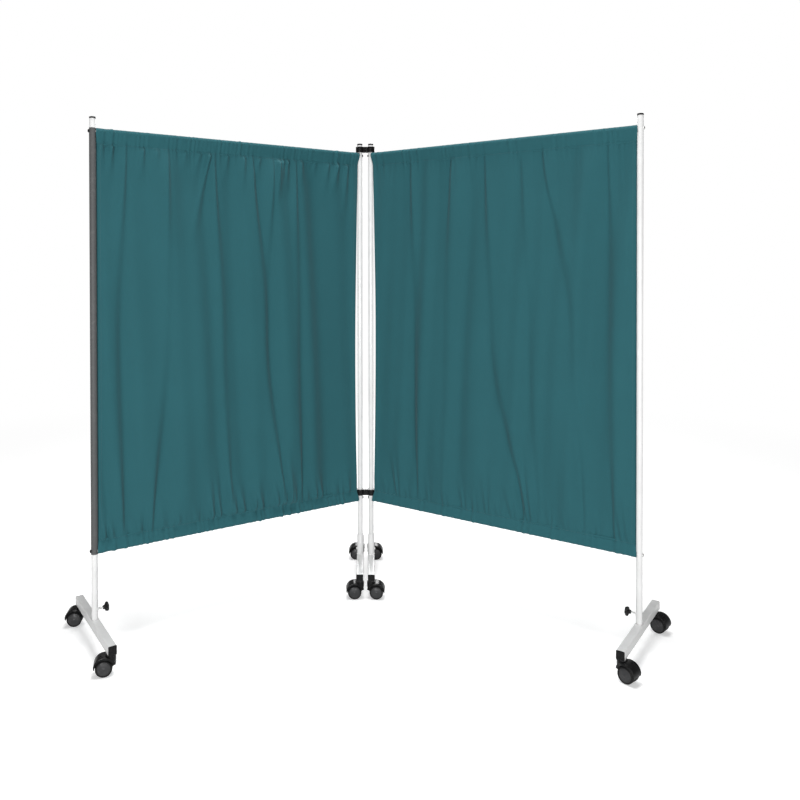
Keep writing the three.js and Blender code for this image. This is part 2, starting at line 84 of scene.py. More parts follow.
# Main folds of each cloth: place across the panel as shares of its width from the inner post, at
# the top, the middle and the bottom of the cloth, then the strength there
MAIN_FOLDS = {
    "left": np.array([
        [[0.279, 0.270, 0.258], [1.0, 1.0, 1.0]],
        [[0.374, 0.398, 0.360], [0.9, 0.35, 0.0]],
        [[0.452, 0.400, 0.335], [1.0, 1.0, 1.0]],
        [[0.594, 0.561, 0.533], [1.0, 0.85, 0.7]],
        [[0.758, 0.760, 0.815], [0.6, 0.6, 1.0]],
        [[0.895, 0.921, 0.908], [0.8, 0.9, 0.8]],
    ]),
    "right": np.array([
        [[0.178, 0.190, 0.208], [1.0, 1.0, 1.0]],
        [[0.345, 0.322, 0.310], [0.9, 0.45, 0.1]],
        [[0.476, 0.500, 0.622], [0.8, 0.9, 1.0]],
        [[0.610, 0.640, 0.675], [0.4, 0.6, 0.4]],
        [[0.686, 0.790, 0.830], [0.8, 0.7, 0.6]],
        [[0.900, 0.912, 0.922], [0.9, 0.9, 0.9]],
    ]),
}
# Short gathers below the top seam and above the hem: place share, length in metres, strength, lean
# share
TOP_GATHERS = {
    "left": np.array([
        [0.056, 0.23, 0.9, 0], [0.097, 0.13, 0.9, 0.012], [0.137, 0.17, 0.5, 0.014],
        [0.19, 0.09, 0.4, 0], [0.251, 0.12, 0.6, -0.01], [0.31, 0.15, 1.0, -0.004],
        [0.331, 0.14, 1.0, 0], [0.347, 0.2, 1.2, 0.004], [0.42, 0.11, 0.5, 0.01],
        [0.48, 0.17, 0.7, 0.004], [0.54, 0.12, 0.5, 0], [0.607, 0.34, 1.0, 0.06],
        [0.64, 0.1, 0.5, 0.008], [0.69, 0.1, 0.4, 0], [0.79, 0.1, 0.5, 0],
        [0.836, 0.14, 0.7, 0.002], [0.935, 0.16, 0.7, 0], [0.968, 0.12, 0.6, 0.004],
    ]),
    "right": np.array([
        [0.03, 0.12, 0.6, 0], [0.062, 0.15, 0.5, 0.004], [0.106, 0.24, 0.5, -0.01],
        [0.205, 0.1, 0.5, 0], [0.262, 0.1, 0.4, 0.004], [0.302, 0.15, 0.8, -0.01],
        [0.364, 0.13, 1.1, 0.002], [0.42, 0.24, 0.6, 0.006], [0.458, 0.11, 0.6, 0],
        [0.54, 0.1, 0.4, 0], [0.597, 0.2, 0.6, 0.008], [0.655, 0.11, 0.5, 0],
        [0.7, 0.19, 0.9, 0.016], [0.745, 0.1, 0.3, 0], [0.815, 0.2, 0.4, 0], [0.868, 0.11, 0.4, 0],
        [0.95, 0.32, 0.5, 0.016],
    ]),
}
HEM_GATHERS = {
    "left": np.array([
        [0.048, 0.12, 0.6, 0], [0.102, 0.09, 0.5, 0], [0.168, 0.12, 1.0, 0.004],
        [0.193, 0.13, 0.8, 0.008], [0.228, 0.1, 0.6, 0.004], [0.282, 0.15, 1.0, 0.01],
        [0.298, 0.24, 1.0, 0.014], [0.322, 0.14, 1.0, 0.006], [0.352, 0.16, 0.9, 0.018],
        [0.414, 0.13, 0.9, 0.01], [0.436, 0.11, 0.8, 0], [0.482, 0.14, 0.9, 0.008],
        [0.515, 0.15, 0.9, 0.012], [0.572, 0.26, 0.8, 0.01], [0.6, 0.19, 0.9, 0],
        [0.655, 0.08, 0.5, 0], [0.72, 0.09, 0.5, 0.004], [0.77, 0.1, 0.6, 0], [0.85, 0.12, 0.6, 0],
        [0.94, 0.14, 0.8, 0.01], [0.963, 0.22, 1.0, 0.006], [0.984, 0.15, 0.9, 0],
    ]),
    "right": np.array([
        [0.04, 0.1, 0.6, 0], [0.076, 0.08, 0.5, 0], [0.128, 0.19, 1.5, -0.012],
        [0.172, 0.1, 0.5, -0.01], [0.262, 0.12, 0.6, 0], [0.33, 0.11, 0.5, 0],
        [0.402, 0.14, 0.9, -0.01], [0.448, 0.1, 0.6, 0], [0.492, 0.19, 1.1, -0.004],
        [0.535, 0.1, 0.6, 0], [0.59, 0.14, 0.9, -0.02], [0.646, 0.33, 1.4, -0.042],
        [0.668, 0.13, 0.8, -0.01], [0.72, 0.11, 0.6, 0], [0.775, 0.09, 0.5, 0],
        [0.88, 0.09, 0.6, 0], [0.938, 0.14, 0.8, -0.006], [0.957, 0.18, 0.9, -0.01],
        [0.978, 0.14, 0.8, 0],
    ]),
}
# How strong the main folds, the gathers at the top and at the hem, the pockets' puckers and the
# slow billow are in each cloth, and the seed of its small ripples
FOLDING = {"left": 1.48, "right": 1.14}
TOP_GATHERING = {"left": 0.0215, "right": 0.0085}
HEM_GATHERING = {"left": 0.0210, "right": 0.0215}
PUCKERING = {"left": 0.85, "right": 0.55}
BILLOWING = {"left": 0.0062, "right": 0.0046}
RIPPLE_SEED = {"left": 11, "right": 23}


# ---------------------------------------------------------------- sizes and colours to change


def length(name, description, default):
    """A length that a user can change."""
    return bpy.props.FloatProperty(name=name, description=description, default=default, min=0.0,
                                   precision=5, subtype="DISTANCE", unit="LENGTH")


def colour(name, description, default):
    """A colour that a user can change."""
    return bpy.props.FloatVectorProperty(name=name, description=description, default=default,
                                         size=3, min=0.0, max=1.0, subtype="COLOR")


class ScreenSizes(bpy.types.PropertyGroup):
    cloth_thickness: length("Cloth thickness", "Thickness of the woven cloth", 0.001)
    top_pocket: length("Top pocket", "Depth of the rod pocket from the top edge to its seam", 0.047)
    hem: length("Bottom pocket", "Depth of the rod pocket from the bottom edge to its seam", 0.038)
    fold_depth: length("Fold depth", "Depth of a full fold of the cloth", 0.017)
    pucker_depth: length("Pucker depth", "Height of the small puckers along the seams", 0.0042)
    side_hem: length("Side hem", "Width of the turned hem along each upright edge", 0.014)
    stitch_length: length("Stitch length", "Length of one stitch that shows", 0.0032)
    stitch_pitch: length("Stitch pitch", "Distance from one stitch to the next", 0.0046)
    tube_corner: length("Tube corner", "Outside corner radius of the square foot tube", 0.0032)
    weld_bead: length("Weld bead", "Radius of the weld bead round a bearing socket", 0.0015)
    thread_pitch: length("Thread pitch", "Pitch of the thread on the knob's stud", 0.001)


class ScreenColours(bpy.types.PropertyGroup):
    paint: colour("Paint", "White powder coat of posts, rails and feet", (0.67, 0.67, 0.668))
    cloth: colour("Cloth", "Teal of the woven cloth", (0.0173, 0.0875, 0.1025))
    thread: colour("Thread", "Sewing thread of the seams", (0.0205, 0.0895, 0.1045))
    sleeve: colour("Sleeve", "Dark grey sleeve on the left outer post", (0.060, 0.0625, 0.0635))
    plastic: colour("Plastic", "Black moulded plastic", (0.0038, 0.0038, 0.0042))
    hubcap: colour("Hubcap", "Dark grey of the wheels' domed caps", (0.0235, 0.0235, 0.025))
    steel: colour("Steel", "Plated steel of studs and screws", (0.62, 0.62, 0.61))
    floor: colour("Floor", "Pale studio floor", (0.86, 0.86, 0.86))


def sizes():
    """The sizes that a user can change."""
    return bpy.context.scene.screen_sizes


def colours():
    """The colours that a user can change."""
    return bpy.context.scene.screen_colours


# ---------------------------------------------------------------- shells: closed skins as arrays


# Decimals to which points are rounded to find those at one place, and the points round a shape
# where a call gives no other number
WELD_DIGITS = 7
ROUND_STEPS = 48


def circle_angles(steps):
    """Angles of the points round a circle, the first at zero."""
    return np.linspace(0, 2 * np.pi, steps, endpoint=False)


def quads_between(index, around=False):
    """Quads of a table of point numbers, each between two neighbours in a row and the two beside
    them in the next row. Where the rows run around, the last point of a row has the first one as
    its neighbour."""
    if around:
        index = np.hstack([index, index[:, :1]])
    corners = index[:-1, :-1], index[:-1, 1:], index[1:, 1:], index[1:, :-1]
    return np.stack(corners, axis=-1).reshape(-1, 4)


def welded(points, quads):
    """Points at one place become one, and a quad that loses a corner by it becomes a triangle."""
    unique, inverse = np.unique(np.round(points, WELD_DIGITS), axis=0, return_inverse=True)
    quads = inverse.reshape(-1)[quads]
    same = quads == np.roll(quads, -1, axis=1)
    lost = same.sum(axis=1)
    first = same[lost == 1].argmax(axis=1)
    order = (first[:, None] + np.array([1, 2, 3])) % 4
    return unique, quads[lost == 0], np.take_along_axis(quads[lost == 1], order, axis=1)


def outward(points, quads, triangles):
    """The volume is a sixth of the sum of a . (b x c) over all triangles. Where it is negative,
    faces turn round."""
    corners = np.concatenate([quads[:, [0, 1, 2]], quads[:, [0, 2, 3]], triangles])
    a, b, c = (points[corners[:, k]] - points.mean(axis=0) for k in range(3))
    if np.einsum("ij,ij->", a, np.cross(b, c)) < 0:
        return points, quads[:, ::-1], triangles[:, ::-1]
    return points, quads, triangles


def shell(grid, joined=False):
    """Skin over rings of points (rings, points round a ring, 3): neighbours in a ring and rings in
    turn make quads. The last ring joins the first where joined; otherwise the end rings are
    poles."""
    rings, around, _ = grid.shape
    index = np.arange(rings * around).reshape(rings, around)
    if joined:
        index = np.vstack([index, index[:1]])
    return outward(*welded(grid.reshape(-1, 3), quads_between(index, around=True)))


def lofted(rings, joined=False):
    """Skin through rings of points, each end closed by a fan to the middle of its ring unless they
    are joined."""
    rings = np.asarray(rings, float)
    if joined:
        return shell(rings, joined=True)
    first, last = (np.broadcast_to(ring.mean(axis=0), ring.shape)[None] for ring in rings[[0, -1]])
    return shell(np.concatenate([first, rings, last]))


def turned(radii, heights, steps=ROUND_STEPS, joined=False):
    """Surface of revolution round Z: point (i, j) has the radius r_i, or r_ij where it changes
    round the turn, the angle 2 pi j / steps and the height z_i. The profile starts and ends on the
    axis, or joins itself."""
    radii = np.asarray(radii, float)
    if radii.ndim == 1:
        radii = np.repeat(radii[:, None], steps, axis=1)
    angle = circle_angles(radii.shape[1])
    heights = np.broadcast_to(np.asarray(heights, float)[:, None], radii.shape)
    return shell(np.stack([radii * np.cos(angle), radii * np.sin(angle), heights], axis=-1), joined)


def rounded(corners, radius, steps=4, closed=True):
    """Each corner c becomes the curve (1-s)^2 a + 2s(1-s) c + s^2 b, where a and b lie the radius
    before and after it on its two sides, or just under half the side where that is less. An open
    outline keeps its ends."""
    corners = np.asarray(corners, float)
    to_last = np.roll(corners, 1, axis=0) - corners
    to_next = np.roll(corners, -1, axis=0) - corners
    lengths = np.maximum(np.linalg.norm([to_last, to_next], axis=2), 1e-9)
    reach = np.minimum(np.broadcast_to(radius, len(corners)), 0.49 * lengths.min(axis=0))
    if not closed:
        reach[[0, -1]] = 0
    start = corners + to_last * (reach / lengths[0])[:, None]
    end = corners + to_next * (reach / lengths[1])[:, None]
    s = np.linspace(0, 1, steps + 1)[:, None, None]
    curve = (1 - s) ** 2 * start + 2 * s * (1 - s) * corners + s**2 * end
    return curve.transpose(1, 0, 2).reshape(-1, corners.shape[1])


def profile(corners, radius, around=ROUND_STEPS, joined=False):
    """Surface of revolution of a rounded profile of (radius, height) corners."""
    outline = rounded(corners, radius, 3, closed=joined)
    return turned(outline[:, 0], outline[:, 1], around, joined)


def tube(radius, bore, low, high, edge=0.0003):
    """Round tube: the outline of its wall turned about the axis and joined to itself."""
    corners = [(radius, low), (radius, high), (bore, high), (bore, low)]
    return profile(corners, edge, joined=True)


def rectangle(width, height, radius, steps=5):
    """Rounded rectangle about the origin, as points (y, z)."""
    half = np.array([width / 2, height / 2])
    return rounded(half * np.array([[1, 1], [-1, 1], [-1, -1], [1, -1]]), radius, steps)


def raised(outline, x):
    """An outline (y, z) set at one x."""
    return np.column_stack([np.full(len(outline), x), outline])


def moved(part, matrix):
    """The part carried by a 4x4 matrix."""
    points, quads, triangles = part
    return points @ matrix[:3, :3].T + matrix[:3, 3], quads, triangles


def shifted(part, x=0.0, z=0.0):
    """The part moved along X and up."""
    return part[0] + np.array([x, 0.0, z]), part[1], part[2]


def smooth(value, low, high):
    """3t^2 - 2t^3 of the share t of the way from low to high, held at 0 and 1 outside them."""
    t = np.clip((value - low) / (high - low), 0, 1)
    return t * t * (3 - 2 * t)


def hexagon(across_flats):
    """Radius of a hexagon at each angle: half its width over flats, divided by the cosine of the
    angle from the middle of the nearest side."""
    return across_flats / 2 / np.cos((circle_angles(ROUND_STEPS) % (np.pi / 3)) - np.pi / 6)


# ---------------------------------------------------------------- places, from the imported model


def middle(node):
    """Middle of a node's box."""
    return np.array(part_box(node)).mean(axis=0)


def reach_in_height(node):
    """Lowest and highest height of a node."""
    low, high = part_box(node)
    return low.z, high.z


def standing(origin, along):
    """Matrix of the place on the floor under origin, with its X along a level direction and its Z
    up."""
    x = np.array([along[0], along[1], 0.0])
    x /= np.linalg.norm(x)
    matrix = np.eye(4)
    matrix[:3, 0] = x
    matrix[:3, 1] = np.cross(UP, x)
    matrix[:2, 3] = origin[:2]
    return matrix


def panel_place(side):
    """The panel's own axes: X from the inner post to the outer one, Y level and square to the
    panel."""
    inner = middle(f"{side}_inner_post")
    return standing(inner, middle(f"{side}_outer_post") - inner)


def panel_width(side):
    """Distance between the axes of the panel's posts."""
    across = middle(f"{side}_outer_post") - middle(f"{side}_inner_post")
    return float(np.hypot(across[0], across[1]))


def front_of(side):
    """1 where the panel's own Y points to the front of the screen, and -1 where it points to the
    back."""
    return 1.0 if panel_place(side)[1, 1] < 0 else -1.0


def foot_place(name):
    """The foot's own axes: X along the tube to its front end."""
    front, rear = (middle(f"{name}_{end}_end_cap") for end in ENDS)
    return standing(middle(f"{name}_post"), front - rear)


def foot_levels(name):
    """Heights of the underside and the top of a foot's tube."""
    bottom = reach_in_height(f"{name}_foot")[0]
    return bottom, bottom + FOOT_HEIGHT


def seat_radius(side, place):
    """Radius of what a rail or a bolt head stands against at a post."""
    if (side, place) != ("left", "outer"):
        return POST_RADIUS
    low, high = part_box("left_edge_sleeve")
    return float(high.x - low.x) / 2


# ---------------------------------------------------------------- pieces


def add_mesh(name, points, faces):
    """Object at the origin with a smooth mesh of these points and faces."""
    mesh = bpy.data.meshes.new(name)
    mesh.from_pydata(points.tolist(), [], faces)
    mesh.polygons.foreach_set("use_smooth", np.ones(len(mesh.polygons), bool))
    mesh.update()
    made = bpy.data.objects.new(name, mesh)
    bpy.context.scene.collection.objects.link(made)
    return made


def add_piece(name, parts, node, look, at=None, sharp=40, replaces=True):
    """Joins closed shells, carried by the matrix where there is one, into one mesh that stands for
    a CAD node. It rides on the node's body and takes the material of the finish given."""
    if at is not None:
        parts = [moved(part, at) for part in parts]
    starts = np.cumsum([0] + [len(points) for points, _, _ in parts])
    faces = []
    for (_, quads, triangles), start in zip(parts, starts):
        faces += (quads + start).tolist() + (triangles + start).tolist()
    made = add_mesh(name, np.concatenate([points for points, _, _ in parts]), faces)
    made.data.set_sharp_from_angle(angle=math.radians(sharp))
    made.data.materials.append(finish(look))
    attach(made, BODY_OF[node])
    if replaces:
        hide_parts(node)
    return made


# ---------------------------------------------------------------- shader node groups


def put(tree, socket, value):
    """Links a socket to the one that is given, or sets its plain value."""
    if isinstance(value, bpy.types.NodeSocket):
        tree.links.new(value, socket)
    else:
        socket.default_value = value


def add_node(tree, kind, inputs=None, **settings):
    """Adds a node, sets its fields, and sets or links its inputs."""
    made = tree.nodes.new(kind)
    for key, value in settings.items():
        setattr(made, key, value)
    for key, value in (inputs or {}).items():
        put(tree, made.inputs[key], value)
    return made


def maths(tree, operation, *values):
    """Result of a Math node on these values."""
    return add_node(tree, "ShaderNodeMath", dict(enumerate(values)), operation=operation).outputs[0]


def stretched(tree, vector, factors):
    """A place multiplied axis by axis, so that a pattern on it is drawn out."""
    inputs = {0: vector, 1: factors}
    return add_node(tree, "ShaderNodeVectorMath", inputs, operation="MULTIPLY").outputs[0]


def in_range(tree, value, low, high, to_low=0.0, to_high=1.0):
    """A value led smoothly from one range to another."""
    names = ("Value", "From Min", "From Max", "To Min", "To Max")
    inputs = dict(zip(names, (value, low, high, to_low, to_high)))
    made = add_node(tree, "ShaderNodeMapRange", inputs, interpolation_type="SMOOTHSTEP")
    return made.outputs["Result"]


def noise(tree, vector, scale, detail=3.0, roughness=0.55):
    """Value of a noise texture at a place."""
    inputs = {"Vector": vector, "Scale": scale, "Detail": detail, "Roughness": roughness}
    return add_node(tree, "ShaderNodeTexNoise", inputs).outputs[0]


def blended(tree, factor, first, second):
    """Colour mix of two colours by a factor."""
    # The colour mix has its factor at input 0, its two colours at 6 and 7, and its result at output
    # 2
    inputs = {0: factor, 6: first, 7: second}
    return add_node(tree, "ShaderNodeMix", inputs, data_type="RGBA").outputs[2]


def object_place(tree):
    """The place on the piece, in metres."""
    return add_node(tree, "ShaderNodeTexCoord").outputs["Object"]


def new_group(name, inputs, outputs):
    """Empty shader node group with named sockets; returns the tree, its input's outputs and its
    output's inputs. A socket without a default carries a vector."""
    tree = bpy.data.node_groups.new(name, "ShaderNodeTree")
    for label, default in inputs.items():
        kind = "NodeSocketVector" if default is None else "NodeSocketFloat"
        socket = tree.interface.new_socket(label, in_out="INPUT", socket_type=kind)
        if default is not None:
            socket.default_value = default
    for label in outputs:
        tree.interface.new_socket(label, in_out="OUTPUT", socket_type="NodeSocketFloat")
    return tree, tree.nodes.new("NodeGroupInput").outputs, tree.nodes.new("NodeGroupOutput").inputs


def grain_group():
    """Surface grain: fine noise over coarse noise, as one height and one value for colour and
    roughness."""
    sockets = {"Vector": None, "Fine": 900.0, "Coarse": 40.0}
    tree, given, result = new_group("Grain", sockets, ["Height", "Value"])
    fine = noise(tree, given["Vector"], given["Fine"], 2.0)
    coarse = noise(tree, given["Vector"], given["Coarse"], 4.0)
    half = maths(tree, "MULTIPLY", fine, 0.5)
    put(tree, result["Height"], maths(tree, "MULTIPLY_ADD", coarse, 0.5, half))
    put(tree, result["Value"], coarse)
    return tree


def marks_group():
    """Dust and scuffs: two noises multiplied and cut off at a level, stronger near the floor by the
    height."""
    sockets = {"Vector": None, "Scale": 30.0, "Level": 0.5, "Floor Dust Height": 0.12}
    tree, given, result = new_group("Dust and scuffs", sockets, ["Mask"])
    vector, level = given["Vector"], given["Level"]
    blotches = noise(tree, vector, given["Scale"], 5.0, 0.65)
    finer = maths(tree, "MULTIPLY", given["Scale"], 9.0)
    streaks = noise(tree, stretched(tree, vector, (1.0, 1.0, 0.55)), finer)
    both = maths(tree, "MULTIPLY", blotches, streaks)
    spots = in_range(tree, both, maths(tree, "MULTIPLY", level, 0.6), level)
    height = add_node(tree, "ShaderNodeSeparateXYZ", {0: vector}).outputs["Z"]
    low = in_range(tree, height, given["Floor Dust Height"], 0.0)
    spots, low = maths(tree, "MULTIPLY", spots, 0.5), maths(tree, "MULTIPLY", low, blotches)
    put(tree, result["Mask"], maths(tree, "MINIMUM", maths(tree, "ADD", spots, low), 1.0))
    return tree


def weave_group():
    """Plain weave: |sin| ridges of the two thread directions, swapped from one square to the next,
    and slubs as noise drawn out along each direction."""
    sockets = {"Vector": None, "Threads": 1000.0}
    tree, given, result = new_group("Plain weave", sockets, ["Height", "Shade"])
    apart = add_node(tree, "ShaderNodeSeparateXYZ", {0: given["Vector"]})
    across, down = (maths(tree, "MULTIPLY", apart.outputs[axis], given["Threads"]) for axis in "XY")
    ridges = [maths(tree, "ABSOLUTE", maths(tree, "SINE", maths(tree, "MULTIPLY", value, math.pi)))
              for value in (across, down)]
    squares = maths(tree, "ADD", maths(tree, "FLOOR", across), maths(tree, "FLOOR", down))
    swap = maths(tree, "MODULO", maths(tree, "ABSOLUTE", squares), 2.0)
    kept = maths(tree, "MULTIPLY", ridges[0], swap)
    put(tree, result["Height"],
        maths(tree, "MULTIPLY_ADD", ridges[1], maths(tree, "SUBTRACT", 1.0, swap), kept))
    slubs = [noise(tree, stretched(tree, given["Vector"], factors), 1.0, 2.0)
             for factors in ((1500.0, 30.0, 1.0), (30.0, 1500.0, 1.0))]
    put(tree, result["Shade"], maths(tree, "MULTIPLY", maths(tree, "ADD", *slubs), 0.5))
    return tree


GROUP_MAKERS = {"Grain": grain_group, "Dust and scuffs": marks_group, "Plain weave": weave_group}


def add_group(tree, name, **inputs):
    """Places a shared node group in a material, making it the first time, with this material's
    values."""
    group = bpy.data.node_groups.get(name) or GROUP_MAKERS[name]()
    values = {key.replace("_", " "): value for key, value in inputs.items()}
    return add_node(tree, "ShaderNodeGroup", values, node_tree=group).outputs


# ---------------------------------------------------------------- materials


def shade(colour_value, factor=1.0):
    """A colour made darker or lighter, with its alpha."""
    return tuple(min(1.0, value * factor) for value in colour_value) + (1.0,)


def feed(tree, shader, **values):
    """Links or sets inputs of a shader by their names."""
    for key, value in values.items():
        put(tree, shader.inputs[key.replace("_", " ")], value)


def new_material(name, **settings):
    """Material with one Principled shader whose plain values are set on its own sockets."""
    material = bpy.data.materials.new(name)
    material.use_nodes = True
    tree = material.node_tree
    shader = tree.nodes["Principled BSDF"]
    feed(tree, shader, **settings)
    return material, tree, shader


def bumped(tree, shader, height, strength, distance):
    """Leads a height to the shader's normal."""
    inputs = {"Height": height, "Strength": strength, "Distance": distance}
    feed(tree, shader, Normal=add_node(tree, "ShaderNodeBump", inputs).outputs["Normal"])


def coated(name, base, roughness, fine, depth, dust, dust_level=0.4, dust_height=0.12, scale=30.0,
           **settings):
    """Common make-up of paint, plastic and rubber: a colour that drifts a little, grain in its bump
    and roughness, and dust and scuffs that lighten it. The dust is given as its strength and its
    colour."""
    material, tree, shader = new_material(name, **settings)
    place = object_place(tree)
    grain = add_group(tree, "Grain", Vector=place, Fine=fine, Coarse=22.0)
    marks = add_group(tree, "Dust and scuffs", Vector=place, Scale=scale, Level=dust_level,
                      Floor_Dust_Height=dust_height)["Mask"]
    drift = in_range(tree, grain["Value"], 0.3, 0.7)
    body = blended(tree, drift, shade(base, 0.965), shade(base, 1.03))
    rough = in_range(tree, grain["Value"], 0.25, 0.75, roughness - 0.04, roughness + 0.05)
    feed(tree, shader,
         Base_Color=blended(tree, maths(tree, "MULTIPLY", marks, dust[0]), body, dust[1:] + (1.0,)),
         Roughness=maths(tree, "MULTIPLY_ADD", marks, 0.22, rough))
    bumped(tree, shader, grain["Height"], 0.35, depth)
    return material


def white_paint():
    """Powder coat: fine orange peel under a soft gloss, a little grey dust low down."""
    return coated("white_powder_coat", colours().paint, 0.33, 1100.0, 0.00006,
                  (0.16, 0.55, 0.54, 0.51), dust_level=0.42, Coat_Weight=0.35, Coat_Roughness=0.16)


def black_plastic():
    """Moulded black plastic with a fine eroded texture and light scuffs."""
    return coated("black_moulded_plastic", colours().plastic, 0.25, 1900.0, 0.00004,
                  (0.06, 0.16, 0.155, 0.145), dust_height=0.07, Specular_IOR_Level=0.18)


def tread_rubber():
    """Hard black tread: duller than the plastic, with floor dust worked into it."""
    return coated("black_tread", colours().plastic, 0.58, 1400.0, 0.00008,
                  (0.10, 0.18, 0.172, 0.16), dust_height=0.05, scale=60.0, Specular_IOR_Level=0.18)


def hubcap_plastic():
    """Dark grey domed caps with a satin moulded finish."""
    return coated("dark_grey_hubcap", colours().hubcap, 0.27, 1500.0, 0.00003,
                  (0.08, 0.2, 0.195, 0.185), dust_height=0.05, scale=50.0, Specular_IOR_Level=0.32)


def sleeve_plastic():
    """Matt dark grey sleeve with a fine lengthwise grain."""
    material, tree, shader = new_material("matt_grey_sleeve", Roughness=0.62)
    place = object_place(tree)
    drawn = add_node(tree, "ShaderNodeMapping", {"Vector": place, "Scale": (1.0, 1.0, 0.3)})
    lines = noise(tree, drawn.outputs[0], 2600.0, 2.0)
    marks = add_group(tree, "Dust and scuffs", Vector=place, Scale=24.0, Level=0.4,
                      Floor_Dust_Height=0.1)
    grey = colours().sleeve
    base = blended(tree, in_range(tree, lines, 0.3, 0.7), shade(grey, 0.94), shade(grey, 1.06))
    worn = maths(tree, "MULTIPLY", marks["Mask"], 0.25)
    feed(tree, shader, Base_Color=blended(tree, worn, base, (0.2, 0.205, 0.205, 1.0)),
         Roughness=in_range(tree, lines, 0.2, 0.8, 0.55, 0.72))
    bumped(tree, shader, lines, 0.4, 0.00008)
    return material


def plated_steel():
    """Bright plated steel: fine brushed noise in roughness and bump."""
    material, tree, shader = new_material("plated_steel", Metallic=1.0)
    grain = add_group(tree, "Grain", Vector=object_place(tree), Fine=2600.0, Coarse=160.0)
    steel = colours().steel
    feed(tree, shader,
         Base_Color=blended(tree, grain["Value"], shade(steel, 0.85), shade(steel, 1.12)),
         Roughness=in_range(tree, grain["Value"], 0.3, 0.7, 0.22, 0.42))
    bumped(tree, shader, grain["Height"], 0.3, 0.00003)
    return material


def blackened_steel():
    """Black oxide on steel bolts, rubbed a little brighter in spots."""
    material, tree, shader = new_material("blackened_steel", Metallic=0.75)
    grain = add_group(tree, "Grain", Vector=object_place(tree), Fine=2200.0, Coarse=260.0)
    rubbed = in_range(tree, grain["Value"], 0.55, 0.75)
    feed(tree, shader,
         Base_Color=blended(tree, rubbed, (0.018, 0.018, 0.019, 1.0), (0.07, 0.07, 0.072, 1.0)),
         Roughness=in_range(tree, grain["Value"], 0.3, 0.7, 0.48, 0.32))
    bumped(tree, shader, grain["Height"], 0.3, 0.00003)
    return material


def teal_cloth():
    """Woven cloth: plain weave in its bump, slubs and a soft drift in its colour, painted shade in
    the gaps between the threads, and a faint sheen."""
    material, tree, shader = new_material("teal_woven_cloth", Sheen_Weight=0.05,
                                          Sheen_Roughness=0.5, Specular_IOR_Level=0.18)
    flat = add_node(tree, "ShaderNodeUVMap", uv_map="cut").outputs["UV"]
    weave = add_group(tree, "Plain weave", Vector=flat, Threads=1050.0)
    drift = noise(tree, flat, 6.0, 4.0)
    teal = colours().cloth
    slubs = in_range(tree, weave["Shade"], 0.36, 0.64)
    base = blended(tree, slubs, shade(teal, 0.95), shade(teal, 1.05))
    faded = blended(tree, in_range(tree, drift, 0.35, 0.75, 0.0, 0.08), base, shade(teal, 1.5))
    # Painted shade: where the weave's height is low, in the gaps between threads, the colour
    # darkens towards a darker teal.
    gap_shade = in_range(tree, weave["Height"], 0.0, 0.35, 0.16, 0.0)
    feed(tree, shader, Base_Color=blended(tree, gap_shade, faded, shade(teal, 0.45)),
         Roughness=in_range(tree, weave["Shade"], 0.3, 0.7, 0.8, 0.92))
    bumped(tree, shader, weave["Height"], 0.35, 0.00012)
    return material


def sewing_thread():
    """Twisted thread: diagonal ridges along its length in the bump, and painted shade in its
    colour, lighter on the ridges and darker in the grooves.
    """
    material, tree, shader = new_material("teal_thread", Roughness=0.7, Sheen_Weight=0.2)
    inputs = {"Vector": object_place(tree), "Scale": 900.0, "Distortion": 1.5}
    # Painted shade: the twist bands that shape the bump also lighten the colour on the ridges and
    # darken it in the grooves.
    twist = add_node(tree, "ShaderNodeTexWave", inputs, bands_direction="DIAGONAL").outputs["Fac"]
    teal = colours().thread
    feed(tree, shader, Base_Color=blended(tree, twist, shade(teal, 0.8), shade(teal, 1.15)))
    bumped(tree, shader, twist, 0.5, 0.0001)
    return material


FINISHES = {}


def finish(make):
    """The material a function makes, made once."""
    if make.__name__ not in FINISHES:
        FINISHES[make.__name__] = make()
    return FINISHES[make.__name__]


# ---------------------------------------------------------------- posts, caps and the grey sleeve


def bell(value, width):
    """Bell curve exp(-(value / width)^2)."""
    return np.exp(-((value / width) ** 2))


def stud_boss(height):
    """Low round boss along X that carries the knob's stud."""
    radius, start, end = 0.0062, 0.0055, POST_RADIUS + 0.0008
    corners = [(0, start), (radius, start), (radius, end), (0, end)]
    return shifted(moved(profile(corners, 0.0004, around=32), ALONG_X), z=height)


def post_cap(low):
    """Domed plug: a quarter ellipse over the tube's end, a short skirt outside the tube and the
    plug in its bore."""
    skirt, inside = POST_RADIUS + 0.0007, POST_RADIUS + 0.0002
    bore = POST_RADIUS - POST_WALL - FIT_GAP
    angle = np.linspace(0, np.pi / 2, 9)
    dome = np.column_stack([skirt * np.cos(angle), 0.0014 + 0.0026 * np.sin(angle)])
    under = [(0, -0.012), (bore - 0.0006, -0.012), (bore, -0.0112), (bore, FIT_GAP),
             (inside, FIT_GAP), (inside, -0.0026), (skirt - 0.0002, -0.0026), (skirt, -0.0024)]
    outline = np.concatenate([under, dome])
    return turned(outline[:, 0], outline[:, 1] + low)


def grey_sleeve(low, high):
    """Thin tube with a lap seam: its radius falls by a narrow bell curve of the angle along one
    line."""
    radius, bore = seat_radius("left", "outer"), POST_RADIUS + FIT_GAP
    outline = rounded([(radius, low), (radius, high), (bore, high), (bore, low)], 0.0003, 3)
    angle = np.linspace(-np.pi, np.pi, 72, endpoint=False)
    seam = 0.0004 * bell(angle - 0.9, 0.07)
    outside = outline[:, 0] > POST_RADIUS + 0.0006
    return turned(outline[:, :1] - outside[:, None] * seam, outline[:, 1], joined=True)


